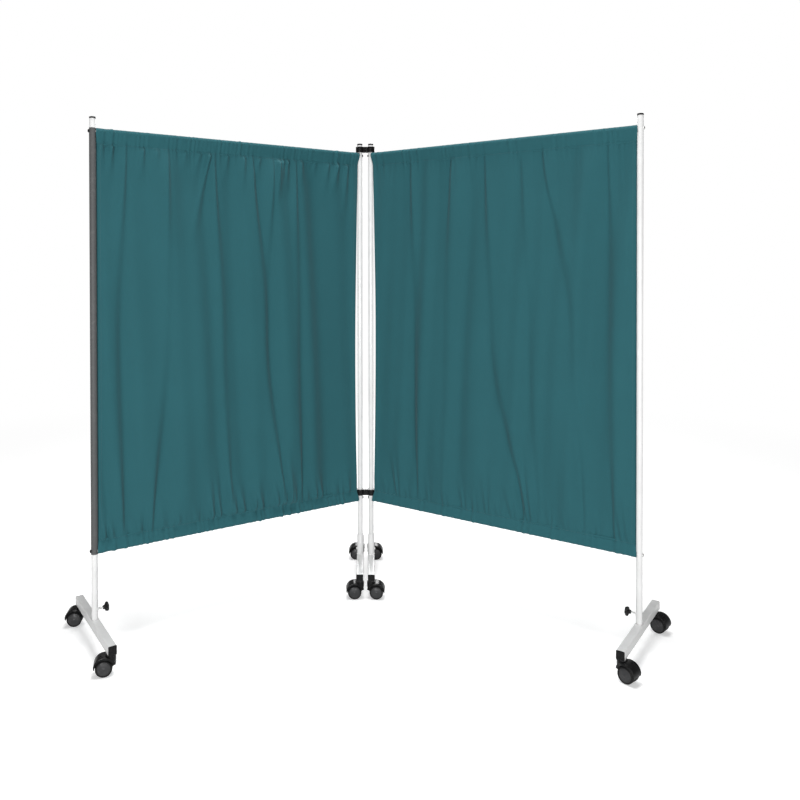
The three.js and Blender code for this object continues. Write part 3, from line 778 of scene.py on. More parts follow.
class SCREEN_OT_posts(bpy.types.Operator):
    """Four round posts with their domed caps, and the grey sleeve on the left outer post"""

    bl_idname = "screen.posts"
    bl_label = "Posts, caps and sleeve"

    def execute(self, context):
        for side in SIDES:
            for place in PLACES:
                name = f"{side}_{place}_post"
                at = standing(middle(name), panel_place(side)[:2, 0])
                low, high = reach_in_height(name)
                parts = [tube(POST_RADIUS, POST_RADIUS - POST_WALL, low, high)]
                if place == "outer":
                    knob_height = JOINTS[f"{side}_knob_turn"]["pos_m"][2]
                    parts.append(moved(stud_boss(knob_height), HALF_TURN))
                add_piece(f"{name}_tube", parts, name, white_paint, at)
                add_piece(f"{name}_dome_cap", [post_cap(high)], f"{name}_cap", black_plastic, at)
        sleeve = grey_sleeve(*reach_in_height("left_edge_sleeve"))
        at = standing(middle("left_outer_post"), panel_place("left")[:2, 0])
        add_piece("left_grey_sleeve", [sleeve], "left_edge_sleeve", sleeve_plastic, at)
        return {"FINISHED"}


# ---------------------------------------------------------------- rails and their bolts


RAIL_RADIUS, RAIL_BORE = 0.008, 0.006
# How far a rail bolt's shank reaches past its post
BOLT_REACH = 0.0137


def rail_tube(side, height):
    """Tube along X whose ends are cut to the round of their posts: at the distance y from the
    middle line the end lies sqrt(R^2 - y^2) from the post's axis."""
    angle = circle_angles(40)
    rings = []
    radii = (RAIL_RADIUS, RAIL_RADIUS, RAIL_BORE, RAIL_BORE)
    for radius, end in zip(radii, ("inner", "outer", "outer", "inner")):
        y, z = radius * np.cos(angle), radius * np.sin(angle)
        x = np.sqrt((seat_radius(side, end) + FIT_GAP) ** 2 - y**2)
        x = panel_width(side) - x if end == "outer" else x
        rings.append(np.column_stack([x, y, z + height]))
    return lofted(rings, joined=True)


def button_bolt(head_radius, head_height, shank_radius, shank_length, key):
    """Domed head on a shank along -Z with a hexagonal recess: a quarter ellipse for the dome, and
    rings of hexagon radius down into the recess."""
    angle = np.linspace(0.12, 1.15, 8)
    dome_radii = head_radius * (0.18 + 0.82 * np.cos(angle))
    dome_heights = head_height * (0.25 + 0.75 * np.sin(angle) / math.sin(1.15))
    recess = hexagon(key)
    rows = [
        (0, -shank_length), (shank_radius * 0.8, -shank_length),
        (shank_radius, -shank_length + shank_radius * 0.3), (shank_radius, 0.0),
        (head_radius * 0.95, 0.0), (head_radius, head_height * 0.06),
        *zip(dome_radii, dome_heights), (recess * 1.12, head_height), (recess, head_height * 0.97),
        (recess * 0.98, head_height * 0.4), (0, head_height * 0.25),
    ]
    radii = [np.broadcast_to(radius, recess.shape) for radius, _ in rows]
    return turned(radii, [height for _, height in rows])


class SCREEN_OT_rails(bpy.types.Operator):
    """Rails inside the cloths' pockets and the bolts that hold them"""

    bl_idname = "screen.rails"
    bl_label = "Rails and bolts"

    def execute(self, context):
        for side in SIDES:
            for level in ("top", "bottom"):
                node = f"{side}_{level}_rail"
                height = float(middle(node)[2])
                add_piece(f"{node}_tube", [rail_tube(side, height)], node, white_paint,
                          panel_place(side))
                for place in PLACES:
                    self.add_bolt(side, place, height, f"{side}_{place}_{level}_bolt")
        return {"FINISHED"}

    def add_bolt(self, side, place, height, node):
        """Bolt through a post into the rail, with its head on the far side of the post."""
        seat = seat_radius(side, place) + FIT_GAP
        bolt = button_bolt(head_radius=0.0055, head_height=0.0036, shank_radius=0.003,
                           shank_length=2 * seat + BOLT_REACH, key=0.0042)
        bolt = shifted(moved(bolt, ALONG_X), x=seat)
        if place == "inner":
            bolt = moved(bolt, HALF_TURN)
        bolt = shifted(bolt, x=panel_width(side) if place == "outer" else 0.0, z=height)
        is_bright = node in BRIGHT_BOLTS
        look, slot = (plated_steel, BRIGHT_SLOT) if is_bright else (blackened_steel, None)
        add_piece(f"{node}_head", [bolt], node, look, panel_place(side))


# ---------------------------------------------------------------- hinge clamps


RING_RADIUS = 0.015
WAIST_HALF = 0.008
# Share of the wall from the bore outwards that keeps the plain ring's section
INNER_WALL = 0.4


def clamp_half(low, high, spread):
    """One ring of the figure eight with its half of the waist. About the ring's middle the outline
    is the ring's radius, blended by a high power mean with the waist's edge w / |sin| and cut off
    at the plane between the rings. The section round the wall is joined to itself."""
    angle = circle_angles(96)
    groove = (low + high) / 2
    bore = POST_RADIUS + FIT_GAP
    # radius, height and the radius of the corner, round the ring's wall
    corners = [
        (RING_RADIUS, low, 0.0015), (RING_RADIUS, groove - 0.0005, 0.0001),
        (RING_RADIUS - 0.0005, groove, 0.0001), (RING_RADIUS, groove + 0.0005, 0.0001),
        (RING_RADIUS, high, 0.0015), (bore, high, 0.0004), (bore, low, 0.0004),
    ]
    section = rounded([corner[:2] for corner in corners], [reach for *_, reach in corners], 4)
    inset = RING_RADIUS - section[:, :1]
    wall = np.clip((section[:, :1] - bore) / (RING_RADIUS - bore), 0, 1)
    circle = RING_RADIUS - inset * (wall > INNER_WALL)
    edge = (WAIST_HALF - inset * (wall > INNER_WALL)) / np.maximum(np.abs(np.sin(angle)), 1e-6)
    towards = np.cos(angle) < 0
    joined_up = np.where(towards, (circle**14 + np.minimum(edge, 0.05) ** 14) ** (1 / 14), circle)
    cut = np.where(towards, spread / np.maximum(-np.cos(angle), 1e-6), 1.0)
    outer = np.minimum(joined_up, cut)
    share = np.where(wall > INNER_WALL, 1.0, wall / INNER_WALL)
    return turned(bore + share * (outer - bore), section[:, 1], joined=True)


class SCREEN_OT_clamps(bpy.types.Operator):
    """Two black figure-eight clamps that hinge the inner posts"""

    bl_idname = "screen.clamps"
    bl_label = "Hinge clamps"

    def execute(self, context):
        between = middle("right_inner_post") - middle("left_inner_post")
        spread = float(np.linalg.norm(between[:2])) / 2
        for level in ("top", "bottom"):
            node = f"{level}_hinge_clamp"
            half = shifted(clamp_half(*reach_in_height(node), spread), x=spread)
            add_piece(f"{node}_rings", [half, moved(half, HALF_TURN)], node, black_plastic,
                      standing(middle(node), between))
        return {"FINISHED"}


# ---------------------------------------------------------------- feet, end caps and screws


SOCKET_WALL = 0.002
# How far a spigot or socket is sunk into the top of the foot's tube
SUNK = 0.001


def foot_beam(bottom, top):
    """Square tube along X: the rounded rectangle outside and the smaller one inside, joined at both
    ends."""
    height, corner, edge, half = top - bottom, sizes().tube_corner, 0.0003, FOOT_LENGTH / 2
    outside = rectangle(FOOT_WIDTH, height, corner, 6)
    rim = rectangle(FOOT_WIDTH - 2 * edge, height - 2 * edge, corner - edge, 6)
    inside = rectangle(FOOT_WIDTH - 2 * FOOT_WALL, height - 2 * FOOT_WALL, 0.0014, 6)
    rings = [raised(rim, -half), raised(outside, -half + edge), raised(outside, half - edge),
             raised(rim, half), raised(inside, half), raised(inside, -half)]
    return shifted(lofted(rings, joined=True), z=(bottom + top) / 2)


def weld_bead(radius, height):
    """Ring of weld: a small circle turned about the axis, swelling with the sine of thirty times
    the angle."""
    round_ = circle_angles(10)
    bead = sizes().weld_bead * (1 + 0.10 * np.sin(30 * circle_angles(120)))
    heights = height + np.sin(round_) * sizes().weld_bead
    return turned(radius + np.cos(round_)[:, None] * bead, heights, joined=True)


def end_cap(width, height):
    """Rounded rectangles in turn from the plug to the sunken middle: out over the flange, round its
    edge, over the raised rim and down into the panel; a low tab stands near the bottom of the
    panel."""
    # place along the tube, then how much smaller than the tube and the corner's radius, both in
    # millimetres
    levels = [(-0.009, 4.8, 1.2), (-0.0085, 4.2, 1.5), (0.0003, 4.2, 1.5), (0.0003, 0.5, 2.8),
              (0.0007, 0.0, 3.2), (0.0017, 0.0, 3.2), (0.0024, 0.7, 3.0), (0.0028, 1.9, 2.6),
              (0.0028, 5.0, 1.8), (0.0025, 5.6, 1.6), (0.0013, 6.4, 1.3), (0.0012, 7.6, 1.2)]
    rings = [raised(rectangle(width - inset / 1000, height - inset / 1000, radius / 1000), x)
             for x, inset, radius in levels]
    tab = [raised(rectangle(0.0095 - inset, 0.0032 - inset, 0.0008), x)
           for x, inset in ((0.0008, 0.0), (0.0021, 0.0), (0.0024, 0.0008))]
    return [lofted(rings), shifted(lofted(tab), z=-height / 2 + 0.0062)]


class SCREEN_OT_feet(bpy.types.Operator):
    """Four feet of square tube with their end caps, and the bearing sockets and screws of the inner
    ones"""

    bl_idname = "screen.feet"
    bl_label = "Feet, caps and screws"

    def execute(self, context):
        for side in SIDES:
            for place in PLACES:
                self.add_foot(f"{side}_{place}", place == "outer")
        return {"FINISHED"}

    def add_foot(self, name, has_spigot):
        """Foot with a spigot inside its post, or a bearing socket round it with a screw, and its
        end caps."""
        at = foot_place(name)
        bottom, top = foot_levels(name)
        start, end = top - SUNK, reach_in_height(f"{name}_foot")[1]
        parts = [foot_beam(bottom, top)]
        if has_spigot:
            spigot = POST_RADIUS - POST_WALL - FIT_GAP
            parts.append(profile([(0, start), (spigot, start), (spigot, end), (0, end)], 0.001))
        else:
            bore = POST_RADIUS + FIT_GAP
            parts.append(tube(bore + SOCKET_WALL, bore, start, end, edge=0.0008))
            parts.append(weld_bead(bore + 0.0026, top + 0.0003))
            self.add_screw(name, bore + SOCKET_WALL)
        add_piece(f"{name}_foot_beam", parts, f"{name}_foot", white_paint, at)
        for end_name, way in (("front", 1.0), ("rear", -1.0)):
            turn = np.diag([way, way, 1.0, 1.0])
            turn[0, 3] = way * FOOT_LENGTH / 2
            turn[2, 3] = (bottom + top) / 2
            node = f"{name}_{end_name}_end_cap"
            caps = [moved(part, turn) for part in end_cap(FOOT_WIDTH, top - bottom)]
            add_piece(f"{node}_plug", caps, node, black_plastic, at, sharp=50)

    def add_screw(self, name, socket_radius):
        """Screw in the outer side of a bearing socket."""
        node = f"{name}_foot_screw"
        at = standing(middle(f"{name}_post"), middle(node) - middle(f"{name}_post"))
        screw = button_bolt(head_radius=0.0045, head_height=0.004, shank_radius=0.0025,
                            shank_length=0.0023, key=0.0034)
        screw = shifted(moved(screw, ALONG_X), x=socket_radius + FIT_GAP, z=float(middle(node)[2]))
        add_piece(f"{node}_head", [screw], node, plated_steel, at)


# ---------------------------------------------------------------- clamping knobs


KNOB_LENGTH = 0.018
STUD_SHOWN = 0.015
STUD_RADIUS, THREAD_DEPTH = 0.0027, 0.0003


def star_knob(hub_start, head_end):
    """Five-lobed knob along Z. The radius at a height is r and the lobes take k (1 - cos 5a) / 2
    off it, with r and k read from the table, so the round hub grows into the star."""
    # share of the length, then the radius and the lobes' depth, both in millimetres
    table = np.array([
        [0.000, 0.0, 0.0], [0.000, 4.5, 0.0], [0.020, 5.4, 0.0], [0.140, 5.8, 0.0],
        [0.260, 6.6, 0.2], [0.340, 7.8, 0.9], [0.390, 9.9, 2.4], [0.430, 12.4, 3.4],
        [0.480, 14.0, 3.6], [0.560, 14.8, 3.4], [0.680, 15.0, 3.2], [0.800, 14.7, 3.1],
        [0.890, 13.8, 2.9], [0.950, 12.2, 2.4], [0.985, 10.0, 1.4], [1.000, 7.6, 0.5],
        [0.996, 6.0, 0.0], [0.970, 5.6, 0.0], [0.968, 5.2, 0.0], [0.990, 4.7, 0.0],
        [1.000, 3.4, 0.0], [1.000, 0.0, 0.0],
    ])
    lobes = (1 - np.cos(5 * circle_angles(100))) / 2
    radii = (table[:, 1:2] - table[:, 2:3] * lobes) / 1000
    return turned(radii, hub_start + table[:, 0] * (head_end - hub_start))


def threaded_stud(low, high):
    """Screw thread: at the height z and the angle a the radius is the mean plus the depth times a
    triangle wave of z / pitch - a / 2 pi, fading out at both ends."""
    pitch = sizes().thread_pitch
    z = np.linspace(low, high, int((high - low) / pitch * 6))[:, None]
    angle = circle_angles(24)
    wave = np.abs(2 * ((z / pitch - angle / (2 * np.pi)) % 1) - 1)
    fade = smooth(z, low, low + pitch) * (1 - smooth(z, high - pitch, high))
    radii = STUD_RADIUS + THREAD_DEPTH * wave * fade
    ends = np.zeros((1, len(angle)))
    return turned(np.vstack([ends, radii, ends]), np.concatenate([[low], z[:, 0], [high]]))


class SCREEN_OT_knobs(bpy.types.Operator):
    """The two clamping knobs with their studs"""

    bl_idname = "screen.knobs"
    bl_label = "Clamping knobs"

    def execute(self, context):
        for side in SIDES:
            node = f"{side}_knob"
            inner, outer = (middle(f"{side}_{place}_post") for place in PLACES)
            at = standing(outer, inner - outer)
            height = JOINTS[f"{node}_turn"]["pos_m"][2]
            hub_start = POST_RADIUS + STUD_SHOWN
            knob = star_knob(hub_start, hub_start + KNOB_LENGTH)
            stud = threaded_stud(POST_RADIUS - POST_WALL, hub_start + 0.002)
            knob, stud = (shifted(moved(part, ALONG_X), z=height) for part in (knob, stud))
            add_piece(f"{node}_star", [knob], node, black_plastic, at, sharp=50)
            add_piece(f"{node}_stud", [stud], node, plated_steel, at)
        return {"FINISHED"}


# ---------------------------------------------------------------- casters


CASTERS = [f"{side}_{place}_{end}" for side in SIDES for place in PLACES for end in ENDS]
HOOD_INNER = 0.0264
HOOD_OUTER = 0.034
HOOD_HALF = 0.0205
BOSS_RADIUS = 0.0085


def caster_place(name):
    """The caster's own axes on the floor under its stem, with X along its trail; its trail and axle
    height."""
    stem, wheel = (np.array(JOINTS[f"{name}_{joint}"]["pos_m"]) for joint in ("swivel", "spin"))
    return standing(stem, wheel - stem), float(np.hypot(*(wheel - stem)[:2])), float(wheel[2])


def caster_hood(trail, axle):
    """Band round the axle: at each angle its section is a rounded box from the inner radius to an
    outer one that grows from the rear lip to the top, with a fine groove in each side, and it
    narrows towards the stem."""
    angle = np.radians(np.linspace(0, 168, 60))[:, None]
    # degrees over the axle from the rear lip, then the radius or the half width there in
    # millimetres
    edge = [(0, 28.6), (3, 29.2), (18, 31.2), (60, 33.6), (92, 34.3), (130, 34.6), (168, 34.6)]
    width = [(0, 19.9), (12, 20.5), (108, 20.5), (138, 15.2), (168, 12.0)]
    outer, half = (np.interp(np.degrees(angle), table[:, 0], table[:, 1] / 1000)
                   for table in (np.array(edge), np.array(width)))
    # radius, place from the side face and radius of the corner, from the inner edge to the outer
    # one
    side = [(HOOD_INNER, 0, 0.0006), (0.0286, 0, 0.0002), (0.0288, -0.0006, 0.0002),
            (0.0295, -0.0006, 0.0002), (0.0297, 0, 0.0002), (0.0318, 0, 0.0002),
            (0.0321, -0.0005, 0.0004), (HOOD_OUTER, -0.0009, 0.0024)]
    corners = [(r, -(HOOD_HALF + inset)) for r, inset, _ in side]
    corners += [(r, HOOD_HALF + inset) for r, inset, _ in side[::-1]]
    outline = rounded(corners, [reach for _, _, reach in side + side[::-1]], 4)
    share = (outline[:, 0] - HOOD_INNER) / (HOOD_OUTER - HOOD_INNER)
    radius = HOOD_INNER + share * (outer - HOOD_INNER)
    y = np.sign(outline[:, 1]) * (half - (HOOD_HALF - np.abs(outline[:, 1])))
    x, z = trail + radius * np.cos(angle), axle + radius * np.sin(angle)
    return lofted(np.stack([x, y, z], axis=-1))


def stem_block(trail, axle, top):
    """Round block under the stem, drawn in towards its foot, and cut away round the wheels: no
    point lies nearer the axle's line than the wheel pocket's radius."""
    corners = [(0, 0.0290), (0.0062, 0.0292), (0.0132, 0.0345), (0.0155, 0.0420),
               (0.0155, top - 0.0022), (0.0145, top - 0.001), (0.0068, top - 0.001),
               (0.0066, top), (0, top)]
    corner_radii = [0, 0.003, 0.004, 0.004, 0.0012, 0.0006, 0.0003, 0.0003, 0]
    outline = rounded(corners, corner_radii, 5, closed=False)
    points, quads, triangles = turned(outline[:, 0], outline[:, 1], 64)
    above = points[:, 2] - axle
    depth = HOOD_INNER**2 - np.minimum(above**2, HOOD_INNER**2)
    limit = np.where(above < HOOD_INNER, trail - np.sqrt(depth), np.inf)
    points[:, 0] = np.minimum(points[:, 0], limit)
    return points, quads, triangles


def axle_web(trail, axle):
    """Plate between the wheels: about the axle its edge follows the hood's inside above and a small
    boss below."""
    angle = circle_angles(72)
    radius = BOSS_RADIUS + (HOOD_INNER + 0.0008 - BOSS_RADIUS) * smooth(np.sin(angle), -0.42, 0.02)
    rings = []
    for y, inset in ((-0.0035, 0.0006), (-0.0029, 0.0), (0.0029, 0.0), (0.0035, 0.0006)):
        x, z = trail + (radius - inset) * np.cos(angle), axle + (radius - inset) * np.sin(angle)
        rings.append(np.column_stack([x, np.full(len(angle), y), z]))
    return lofted(rings)


def caster_stem(low, high):
    """Grip-neck stem: a plain pin with a groove near its top."""
    corners = [(0, low), (0.0055, low), (0.0055, high - 0.006), (0.0047, high - 0.0052),
               (0.0047, high - 0.0035), (0.0055, high - 0.0028), (0.0055, high - 0.001),
               (0.0045, high), (0, high)]
    return profile(corners, 0.0004, around=32)


def tyre(sign, radius):
    """Tread ring: a flat running face with a rounded shoulder on its outer side, joined to
    itself."""
    corners = [(0.0203, 0.0043), (radius - 0.0008, 0.0043), (radius, 0.0051), (radius, 0.0160),
               (radius - 0.0007, 0.0184), (radius - 0.0024, 0.0199), (0.0203, 0.0201)]
    outline = rounded(corners, [0.0003, 0.0005, 0.0005, 0.002, 0.0018, 0.0012, 0.0003], 4)
    return outward(*moved(turned(outline[:, 0], sign * outline[:, 1], 72, joined=True), ALONG_Y))


def hubcap(sign):
    """Domed cap: a step ring, a groove, then y = rim + rise (1 - (r / R)^2) to the middle, with a
    small boss."""
    r = np.linspace(0.0168, 0.0052, 9)
    dome = np.column_stack([r, 0.0188 + 0.0024 * (1 - (r / 0.0168) ** 2)])
    rim = [(0, 0.0044), (0.0203, 0.0044), (0.0203, 0.0182), (0.0200, 0.0186), (0.0186, 0.0190),
           (0.0183, 0.0185), (0.0175, 0.0185), (0.0172, 0.0188)]
    boss = [(0.0049, 0.0210), (0.0046, 0.0213), (0, 0.0215)]
    outline = np.concatenate([rim, dome, boss])
    return outward(*moved(turned(outline[:, 0], sign * outline[:, 1], 72), ALONG_Y))


class SCREEN_OT_casters(bpy.types.Operator):
    """Eight twin-wheel casters: hood, block and stem, two tyres and two hubcaps each"""

    bl_idname = "screen.casters"
    bl_label = "Casters"

    def execute(self, context):
        for name in CASTERS:
            at, trail, axle = caster_place(name)
            high = reach_in_height(f"{name}_caster")[1]
            top = foot_levels(name.rsplit("_", 1)[0])[0] - 0.001
            housing = [caster_hood(trail, axle), stem_block(trail, axle, top),
                       axle_web(trail, axle), caster_stem(top - 0.002, high)]
            add_piece(f"{name}_caster_hood", housing, f"{name}_caster", black_plastic, at, sharp=45)
            for kind, parts, look in (
                    ("tyres", [tyre(sign, axle) for sign in (-1, 1)], tread_rubber),
                    ("hubcaps", [hubcap(sign) for sign in (-1, 1)], hubcap_plastic)):
                parts = [shifted(part, x=trail, z=axle) for part in parts]
                add_piece(f"{name}_{kind}", parts, f"{name}_wheels", look, at, sharp=45)
        return {"FINISHED"}


# ---------------------------------------------------------------- cloths


# Stand-off of the cut from the panel's plane at a seam, in front and behind, and how far it runs on
# behind it
SEAM_FRONT, SEAM_BACK, SEAM_SPARE = 0.0002, -0.0009, 0.006
# Points of the cut's path over the round of each rail, and the point at the top seam's front; the
# hem seam's is the next one
POCKET_STEPS = 16
TOP_SEAM = 2 + POCKET_STEPS
# Points across a cloth, and down it between its seams
COLUMNS, HANGING_ROWS = 296, 106
# How far the free inner edge draws in from its post at most, and how far it keeps off the lower
# clamp's ring
DRAW_IN, CLEAR_OF_RING = 0.0118, 0.0055
# Width of the line that is pulled in at a seam, and its depth
SEAM_WIDTH, SEAM_DEPTH = 0.0022, 0.0008
# Extra stand-off of the turned hems at the upright edges
HEM_STEP = 0.0004


def levels_of(side):
    """Heights of the cloth: top and bottom edges, the rails' middles, and the two seams."""
    low, high = reach_in_height(f"{side}_cloth")
    rails = {f"{end}_rail": float(middle(f"{side}_{end}_rail")[2]) for end in ("top", "bottom")}
    seams = {"top_seam": high - sizes().top_pocket, "hem_seam": low + sizes().hem}
    return {"top": high, "bottom": low, **seams, **rails}


def pocket(rail, seam, radius):
    """Half of the cut's path: straight from the seam's front point to its tangent point on the
    rail's round, over the round to the tangent point at the back, and straight to the seam's back
    point. Tangent points lie at the angle arccos(radius / distance) either side of the direction to
    the point."""
    drop = seam - rail
    bases = [math.atan2(drop, x) for x in (SEAM_FRONT, SEAM_BACK)]
    opens = [math.acos(radius / math.hypot(x, drop)) for x in (SEAM_FRONT, SEAM_BACK)]
    way = 1.0 if drop < 0 else -1.0
    start = bases[0] + way * opens[0]
    end = bases[1] - way * opens[1] + way * 2 * np.pi
    angle = np.linspace(start, end, POCKET_STEPS)
    return np.column_stack([radius * np.cos(angle), rail + radius * np.sin(angle)])


def cut_path(side):
    """Path of the cut in the section across the rails: up the back of the top pocket, over the
    rail, down the front to the hem seam, under the bottom rail and up its back. Columns are
    stand-off and height. With it comes the distance down the cut at each point."""
    level = levels_of(side)
    radius = level["top"] - level["top_rail"] - sizes().cloth_thickness / 2
    seam, hem = level["top_seam"], level["hem_seam"]
    path = np.concatenate([
        [[SEAM_BACK, seam - SEAM_SPARE], [SEAM_BACK, seam]],
        pocket(level["top_rail"], seam, radius)[::-1],
        [[SEAM_FRONT, seam], [SEAM_FRONT, hem]],
        pocket(level["bottom_rail"], hem, radius),
        [[SEAM_BACK, hem], [SEAM_BACK, hem + SEAM_SPARE]],
    ])
    return path, np.concatenate([[0], np.cumsum(np.linalg.norm(np.diff(path, axis=0), axis=1))])


def share_of_height(height, level):
    """Share of the way up from the cloth's bottom edge to its top edge."""
    return np.clip((height - level["bottom"]) / (level["top"] - level["bottom"]), 0, 1)


def edge_draw_in(height, level):
    """How far the free inner edge draws in from its post: a long arc sin(pi share), raised to 1.2
    above half height and to 0.5 below it, and from the bottom rail up to half height never less
    than the lower clamp's ring needs."""
    share = share_of_height(height, level)
    arc = DRAW_IN * np.sin(np.pi * share).clip(0) ** np.where(share > 0.5, 1.2, 0.5)
    ring = CLEAR_OF_RING * smooth(height, level["bottom"], level["bottom_rail"])
    return np.where(share < 0.5, np.maximum(arc, ring), arc)


def through_three(values, share):
    """Smooth curve through a bottom, a middle and a top value, which values holds from the top
    down."""
    top, mid, bottom = values
    upper = mid + (top - mid) * smooth(share, 0.5, 1.0)
    return np.where(share >= 0.5, upper, bottom + (mid - bottom) * smooth(share, 0.0, 0.5))


def ripple(x, seed, shortest, longest, waves=9):
    """Sum of cosines with seeded wavelengths, sizes and phases, scaled to a mean square of one."""
    drawn = np.random.default_rng(seed)
    wavelengths = np.exp(drawn.uniform(math.log(shortest), math.log(longest), waves))
    amounts = wavelengths**0.5 * drawn.uniform(0.5, 1.0, waves)
    amounts /= math.sqrt((amounts**2).sum() / 2)
    phases = drawn.uniform(0, 2 * np.pi, waves)
    return sum(a * np.cos(2 * np.pi * x / w + p) for a, w, p in zip(amounts, wavelengths, phases))


def puckers(x, seed):
    """Small close ripples that come in clumps, with nearly smooth cloth between them."""
    clumps = smooth(ripple(x, seed + 5, 0.05, 0.2, 5), -0.6, 1.2)
    return ripple(x, seed, 0.013, 0.042) * (0.3 + 1.2 * clumps)


def crease(off, steep, reach, side):
    """A steep step at off = 0 between a side that falls away slowly and one that comes back sooner.
    The step is (1 + tanh(off / steep)) / 2 and both sides fade as exp(-distance / reach). The left
    cloth's crease stands up from the cloth after the step and the right one's lies sunk before
    it."""
    up = (1 + np.tanh(off / steep)) / 2
    away = np.sqrt(off**2 + steep**2) - steep
    slow, soon = np.exp(-away / reach), np.exp(-away / (0.45 * reach))
    if side == "left":
        return 0.72 * up * slow - 0.28 * (1 - up) * soon
    return 0.28 * up * soon - 0.72 * (1 - up) * slow


def gathers(rows, x, away, width, side):
    """Short creases that fan out from a seam, each with a low ridge exp(-(d / w)^2) beside it: they
    widen and fade with the distance from the seam."""
    relief = np.zeros(np.broadcast(x, away).shape)
    for place, reach, strength, lean in rows:
        t = np.clip(away / reach, 0, 1)
        steep = 0.0042 + 0.0085 * t
        fade = (1 - t) ** 1.3 * smooth(away, -0.004, 0.014)
        off = x - (place + lean * t) * width
        ridge = bell(off - (1.7 if side == "left" else -1.7) * steep, 1.25 * steep)
        relief += strength * fade * (0.75 * crease(off, steep, 3.2 * steep, side) + 0.5 * ridge)
    return relief


def hanging_relief(side, x, height, level):
    """Stand-off of the hanging sheet from its plane: main folds, narrow at the seams and broad
    between them, short gathers at both seams, puckers that die away from them, a pulled-in line at
    each seam and a slow billow. All of it dies away towards the posts, and the outer edge is drawn
    back a little beside its post."""
    width, share, seed = panel_width(side), share_of_height(height, level), RIPPLE_SEED[side]
    from_top, from_hem = level["top_seam"] - height, height - level["hem_seam"]
    free = np.clip(np.minimum(from_top, from_hem), 0, None)
    opened = 1 - np.exp(-free / 0.05)
    broad = smooth(free, 0.0, 0.42)
    relief = np.zeros(np.broadcast(x, height).shape)
    for places, strengths in MAIN_FOLDS[side]:
        off = x - through_three(places, share) * width
        depth = FOLDING[side] * sizes().fold_depth * through_three(strengths, share)
        depth = depth * (0.26 + 0.74 * opened)
        relief = relief + depth * crease(off, 0.0046 + 0.0120 * broad, 0.014 + 0.046 * broad, side)
    relief += TOP_GATHERING[side] * gathers(TOP_GATHERS[side], x, from_top, width, side)
    relief += HEM_GATHERING[side] * gathers(HEM_GATHERS[side], x, from_hem, width, side)
    small = 0.5 * PUCKERING[side] * sizes().pucker_depth
    relief += small * puckers(x, seed) * np.exp(-np.abs(from_top) / 0.022)
    relief += small * puckers(x, seed + 1) * np.exp(-np.abs(from_hem) / 0.026)
    relief -= SEAM_DEPTH * (bell(from_top, SEAM_WIDTH) + bell(from_hem, SEAM_WIDTH))
    billow = ripple(x + 0.09 * np.sin(2.1 * height), seed + 2, 0.16, 0.45, 6)
    billow = billow + 0.5 * ripple(x - 0.05 * height, seed + 3, 0.06, 0.14, 6)
    relief += BILLOWING[side] * billow * (0.25 + 0.75 * opened)
    relief *= 0.2 + 0.8 * smooth(np.minimum(x, width - x), 0.011, 0.042)
    return relief - 0.0035 * (1 - smooth(width - x, 0.0105, 0.019))


def pocket_relief(x, seed, depth):
    """Puckers of a pocket's wall: only outwards from the rail."""
    return depth * np.clip(0.55 + 0.42 * puckers(x, seed), 0.05, 1.6)


def cloth_surface(side, across, down):
    """Point of the cloth at a share across it and a distance down its cut. The section gives
    stand-off and height; relief is added along the section's own normal. The upright edges follow
    the round of the posts, sqrt(R^2 - y^2) from their axes, and the inner one draws in between the
    rails."""
    level = levels_of(side)
    path, run = cut_path(side)
    top, hem = run[[TOP_SEAM, TOP_SEAM + 1]]
    stand_off, height = (np.interp(down, run, path[:, k]) for k in range(2))
    tangents = np.gradient(path, run, axis=0)
    tangent = np.stack([np.interp(down, run, tangents[:, k]) for k in range(2)], axis=-1)
    tangent /= np.linalg.norm(tangent, axis=-1, keepdims=True)
    reach = [np.sqrt((seat_radius(side, end) + 0.0005) ** 2 - stand_off.clip(-far, far) ** 2)
             for end, far in (("inner", 0.006), ("outer", 0.008))]
    inner = reach[0] + edge_draw_in(height, level)
    span = panel_width(side) - reach[1] - inner
    x = inner + across * span
    above = down < top
    near_seam = np.exp(-np.clip(np.where(above, top - down, down - hem), 0, None) / 0.009)
    seed, depth = RIPPLE_SEED[side], PUCKERING[side] * sizes().pucker_depth
    walls = np.where(above, pocket_relief(x, seed, depth), pocket_relief(x, seed + 1, depth))
    is_back = (down < run[2]) | (down > run[-3])
    over_rail = smooth(np.abs(stand_off), 0.0085, 0.0035)
    walls = np.where(is_back, 0.25 * walls, walls * (1 - near_seam) * (1 - 0.85 * over_rail))
    seam_height = np.where(above, level["top_seam"], level["hem_seam"])
    seam_relief = hanging_relief(side, x, seam_height, level)
    walls = walls + near_seam * seam_relief * ~is_back
    relief = np.where(~above & (down <= hem), hanging_relief(side, x, height, level), walls)
    relief = relief + HEM_STEP * (np.minimum(across * span, (1 - across) * span) < sizes().side_hem)
    y, z = stand_off - relief * tangent[..., 1], height + relief * tangent[..., 0]
    return np.stack([x, y, z], axis=-1)


def cloth_rows(side):
    """Distances down the cut at which the cloth has points: close together round the rails and at
    the seams."""
    _, run = cut_path(side)
    top, hem = run[[TOP_SEAM, TOP_SEAM + 1]]
    t = np.linspace(0, 1, HANGING_ROWS)
    hang = top + (hem - top) * (t - 0.12 * np.sin(2 * np.pi * t))
    lead = np.linspace(run[TOP_SEAM - 1], top, 10)[1:-1]
    tail = np.linspace(hem, run[TOP_SEAM + 2], 8)[1:-1]
    behind = np.linspace(run[1], run[2], 5)[1:-1]
    rows = np.concatenate([run[:TOP_SEAM], behind, lead, hang, tail, run[TOP_SEAM + 2:]])
    return np.unique(np.round(rows, WELD_DIGITS))


